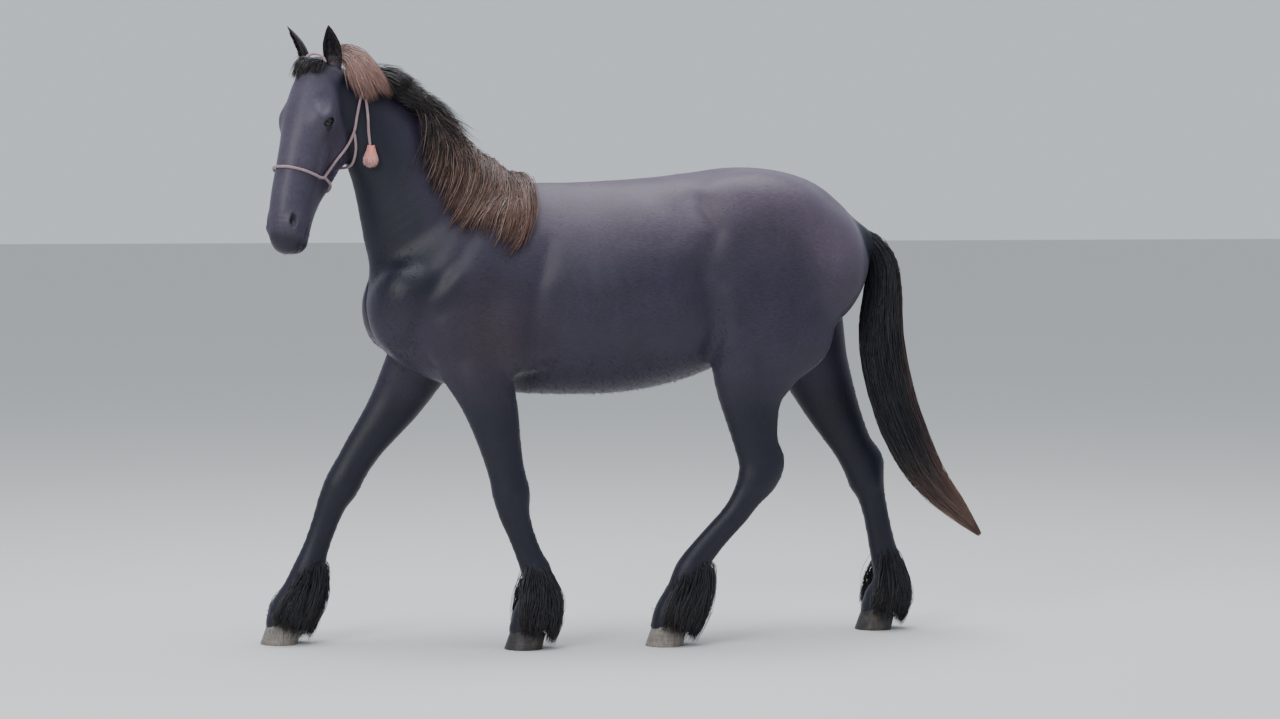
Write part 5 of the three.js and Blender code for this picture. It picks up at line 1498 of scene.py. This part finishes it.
# The middle of a rope lies this far off the skin, and of the bar farther, on the forelock's roots
REST = ROPE_RADIUS + 3
BAR_REST = 12

# Left halves of the ropes on the head: along it, to its left and ahead
NOSE = [
    [364, 32, 0], [362, 58, -34], [359, 62, -76], [352, 58, -114], [344, 52, -148],
    [350, 38, -196],
]
CHEEK = [
    [344, 54, -142], [310, 56, -158], [276, 64, -166], [242, 70, -180], [206, 78, -190],
    [166, 90, -186], [127, 97, -172], [80, 98, -164], [34, 80, -176], [0, 44, -178],
]
THROAT = [[176, 88, -192], [214, 82, -226], [252, 60, -252]]
BAR = [[14, 40, -40], [-4, 30, -34], [-12, 12, -30], [-8, -6, -26], [6, -18, -20]]
TIE = [[-732, -150, 1706], [-737, -150, 1650], [-741, -150, 1584], [-742, -150, 1530]]


def mirrored(half, middle):
    """The left half of a rope, its middle and the same half on the right."""
    return [*half, middle, *([l, -s, d] for l, s, d in reversed(half))]


def on_skin(rows, height=REST):
    l, s, d = np.array(rows, float).T
    return settle(flesh["neck"] + flesh["head"], head.place(along(l), s, d), height)


def tassel(foot):
    guides, facing = [], []
    for t in np.linspace(-1, 1, 5):
        guides.append(foot + np.array([
            [1.5 * t, -6, 12], [6 * t, -7, -4],
            [15 * t - 1, -9, -30], [15 * t - 2, -8, -58 + 8 * t**2]]))
        facing.append(np.tile([0, -1.0, 0], (4, 1)))
    count, rows = 1200, 7
    random, paths, normals, roots = spread_along(guides, facing, count, rows, 25, 3.0, 7, 0.0, 0.75)
    colours = mix(CORAL, PALE_CORAL, steps(rows)[None, :, None] ** 2)
    colours = colours * random.uniform(0.7, 1.2, (count, 1, 1))
    strands("tassel", paths, normals, 1.5, colours, roots, "rope", rope_stuff, ("halter_tie",))


nose = on_skin([[365, 0, 5], *mirrored(NOSE, [356, 0, -218])])
twisted("noseband", nose, PINK, "halter_noseband", closed=True)
twisted("cheeks", on_skin(mirrored(CHEEK, [-8, 0, -172])), PINK, "halter_cheeks")
twisted("crown_bar", on_skin(BAR, BAR_REST), PINK * 1.2, "halter_cheeks")
twisted("throat_rope", on_skin(mirrored(THROAT, [266, 0, -262])), PINK, "halter_throat")
tie = settle(flesh["neck"], TIE, REST + 1)
twisted("tie_rope", tie, PINK, "halter_tie")
tassel(tie[-1])


# Stage and light
FLOOR_HALF = 60
FLOOR_GREY = (0.62, 0.62, 0.61, 1)
SKY_BLUE = (0.86, 0.92, 1.0, 1)
SKY_STRENGTH = 0.75


def add_floor():
    corners = [(x * FLOOR_HALF, y * FLOOR_HALF, 0) for x, y in ((-1, -1), (1, -1), (1, 1), (-1, 1))]
    mesh = bpy.data.meshes.new("floor")
    mesh.from_pydata(corners, [], [(0, 1, 2, 3)])
    floor = bpy.data.objects.new("floor", mesh)
    bpy.context.scene.collection.objects.link(floor)
    mesh.materials.append(Nodes("floor", Base_Color=FLOOR_GREY, Roughness=0.85).material)


def add_light(name, place, target, size, power, colour):
    data = bpy.data.lights.new(name, "AREA")
    data.shape, data.size, data.energy, data.color = "DISK", size, power, colour
    light = bpy.data.objects.new(name, data)
    bpy.context.scene.collection.objects.link(light)
    out = unit(np.array(place, float) - np.array(target, float))
    side = unit(np.cross([0.01, 0, 1], out))
    turn = Matrix(np.column_stack([side, np.cross(out, side), out]).tolist()).to_4x4()
    light.matrix_world = Matrix.Translation(place) @ turn


add_floor()
scene_world = bpy.data.worlds.new("world")
scene_world.use_nodes = True
background = scene_world.node_tree.nodes["Background"]
background.inputs["Color"].default_value = SKY_BLUE
background.inputs["Strength"].default_value = SKY_STRENGTH
bpy.context.scene.world = scene_world
add_light("overhead", (0.3, 0.2, 6.5), (0, 0, 0.8), 6.0, 520, (0.95, 0.97, 1.0))
add_light("key", (-5.5, -6.5, 5.0), (-0.2, 0, 1.0), 4.0, 420, (1.0, 0.98, 0.95))
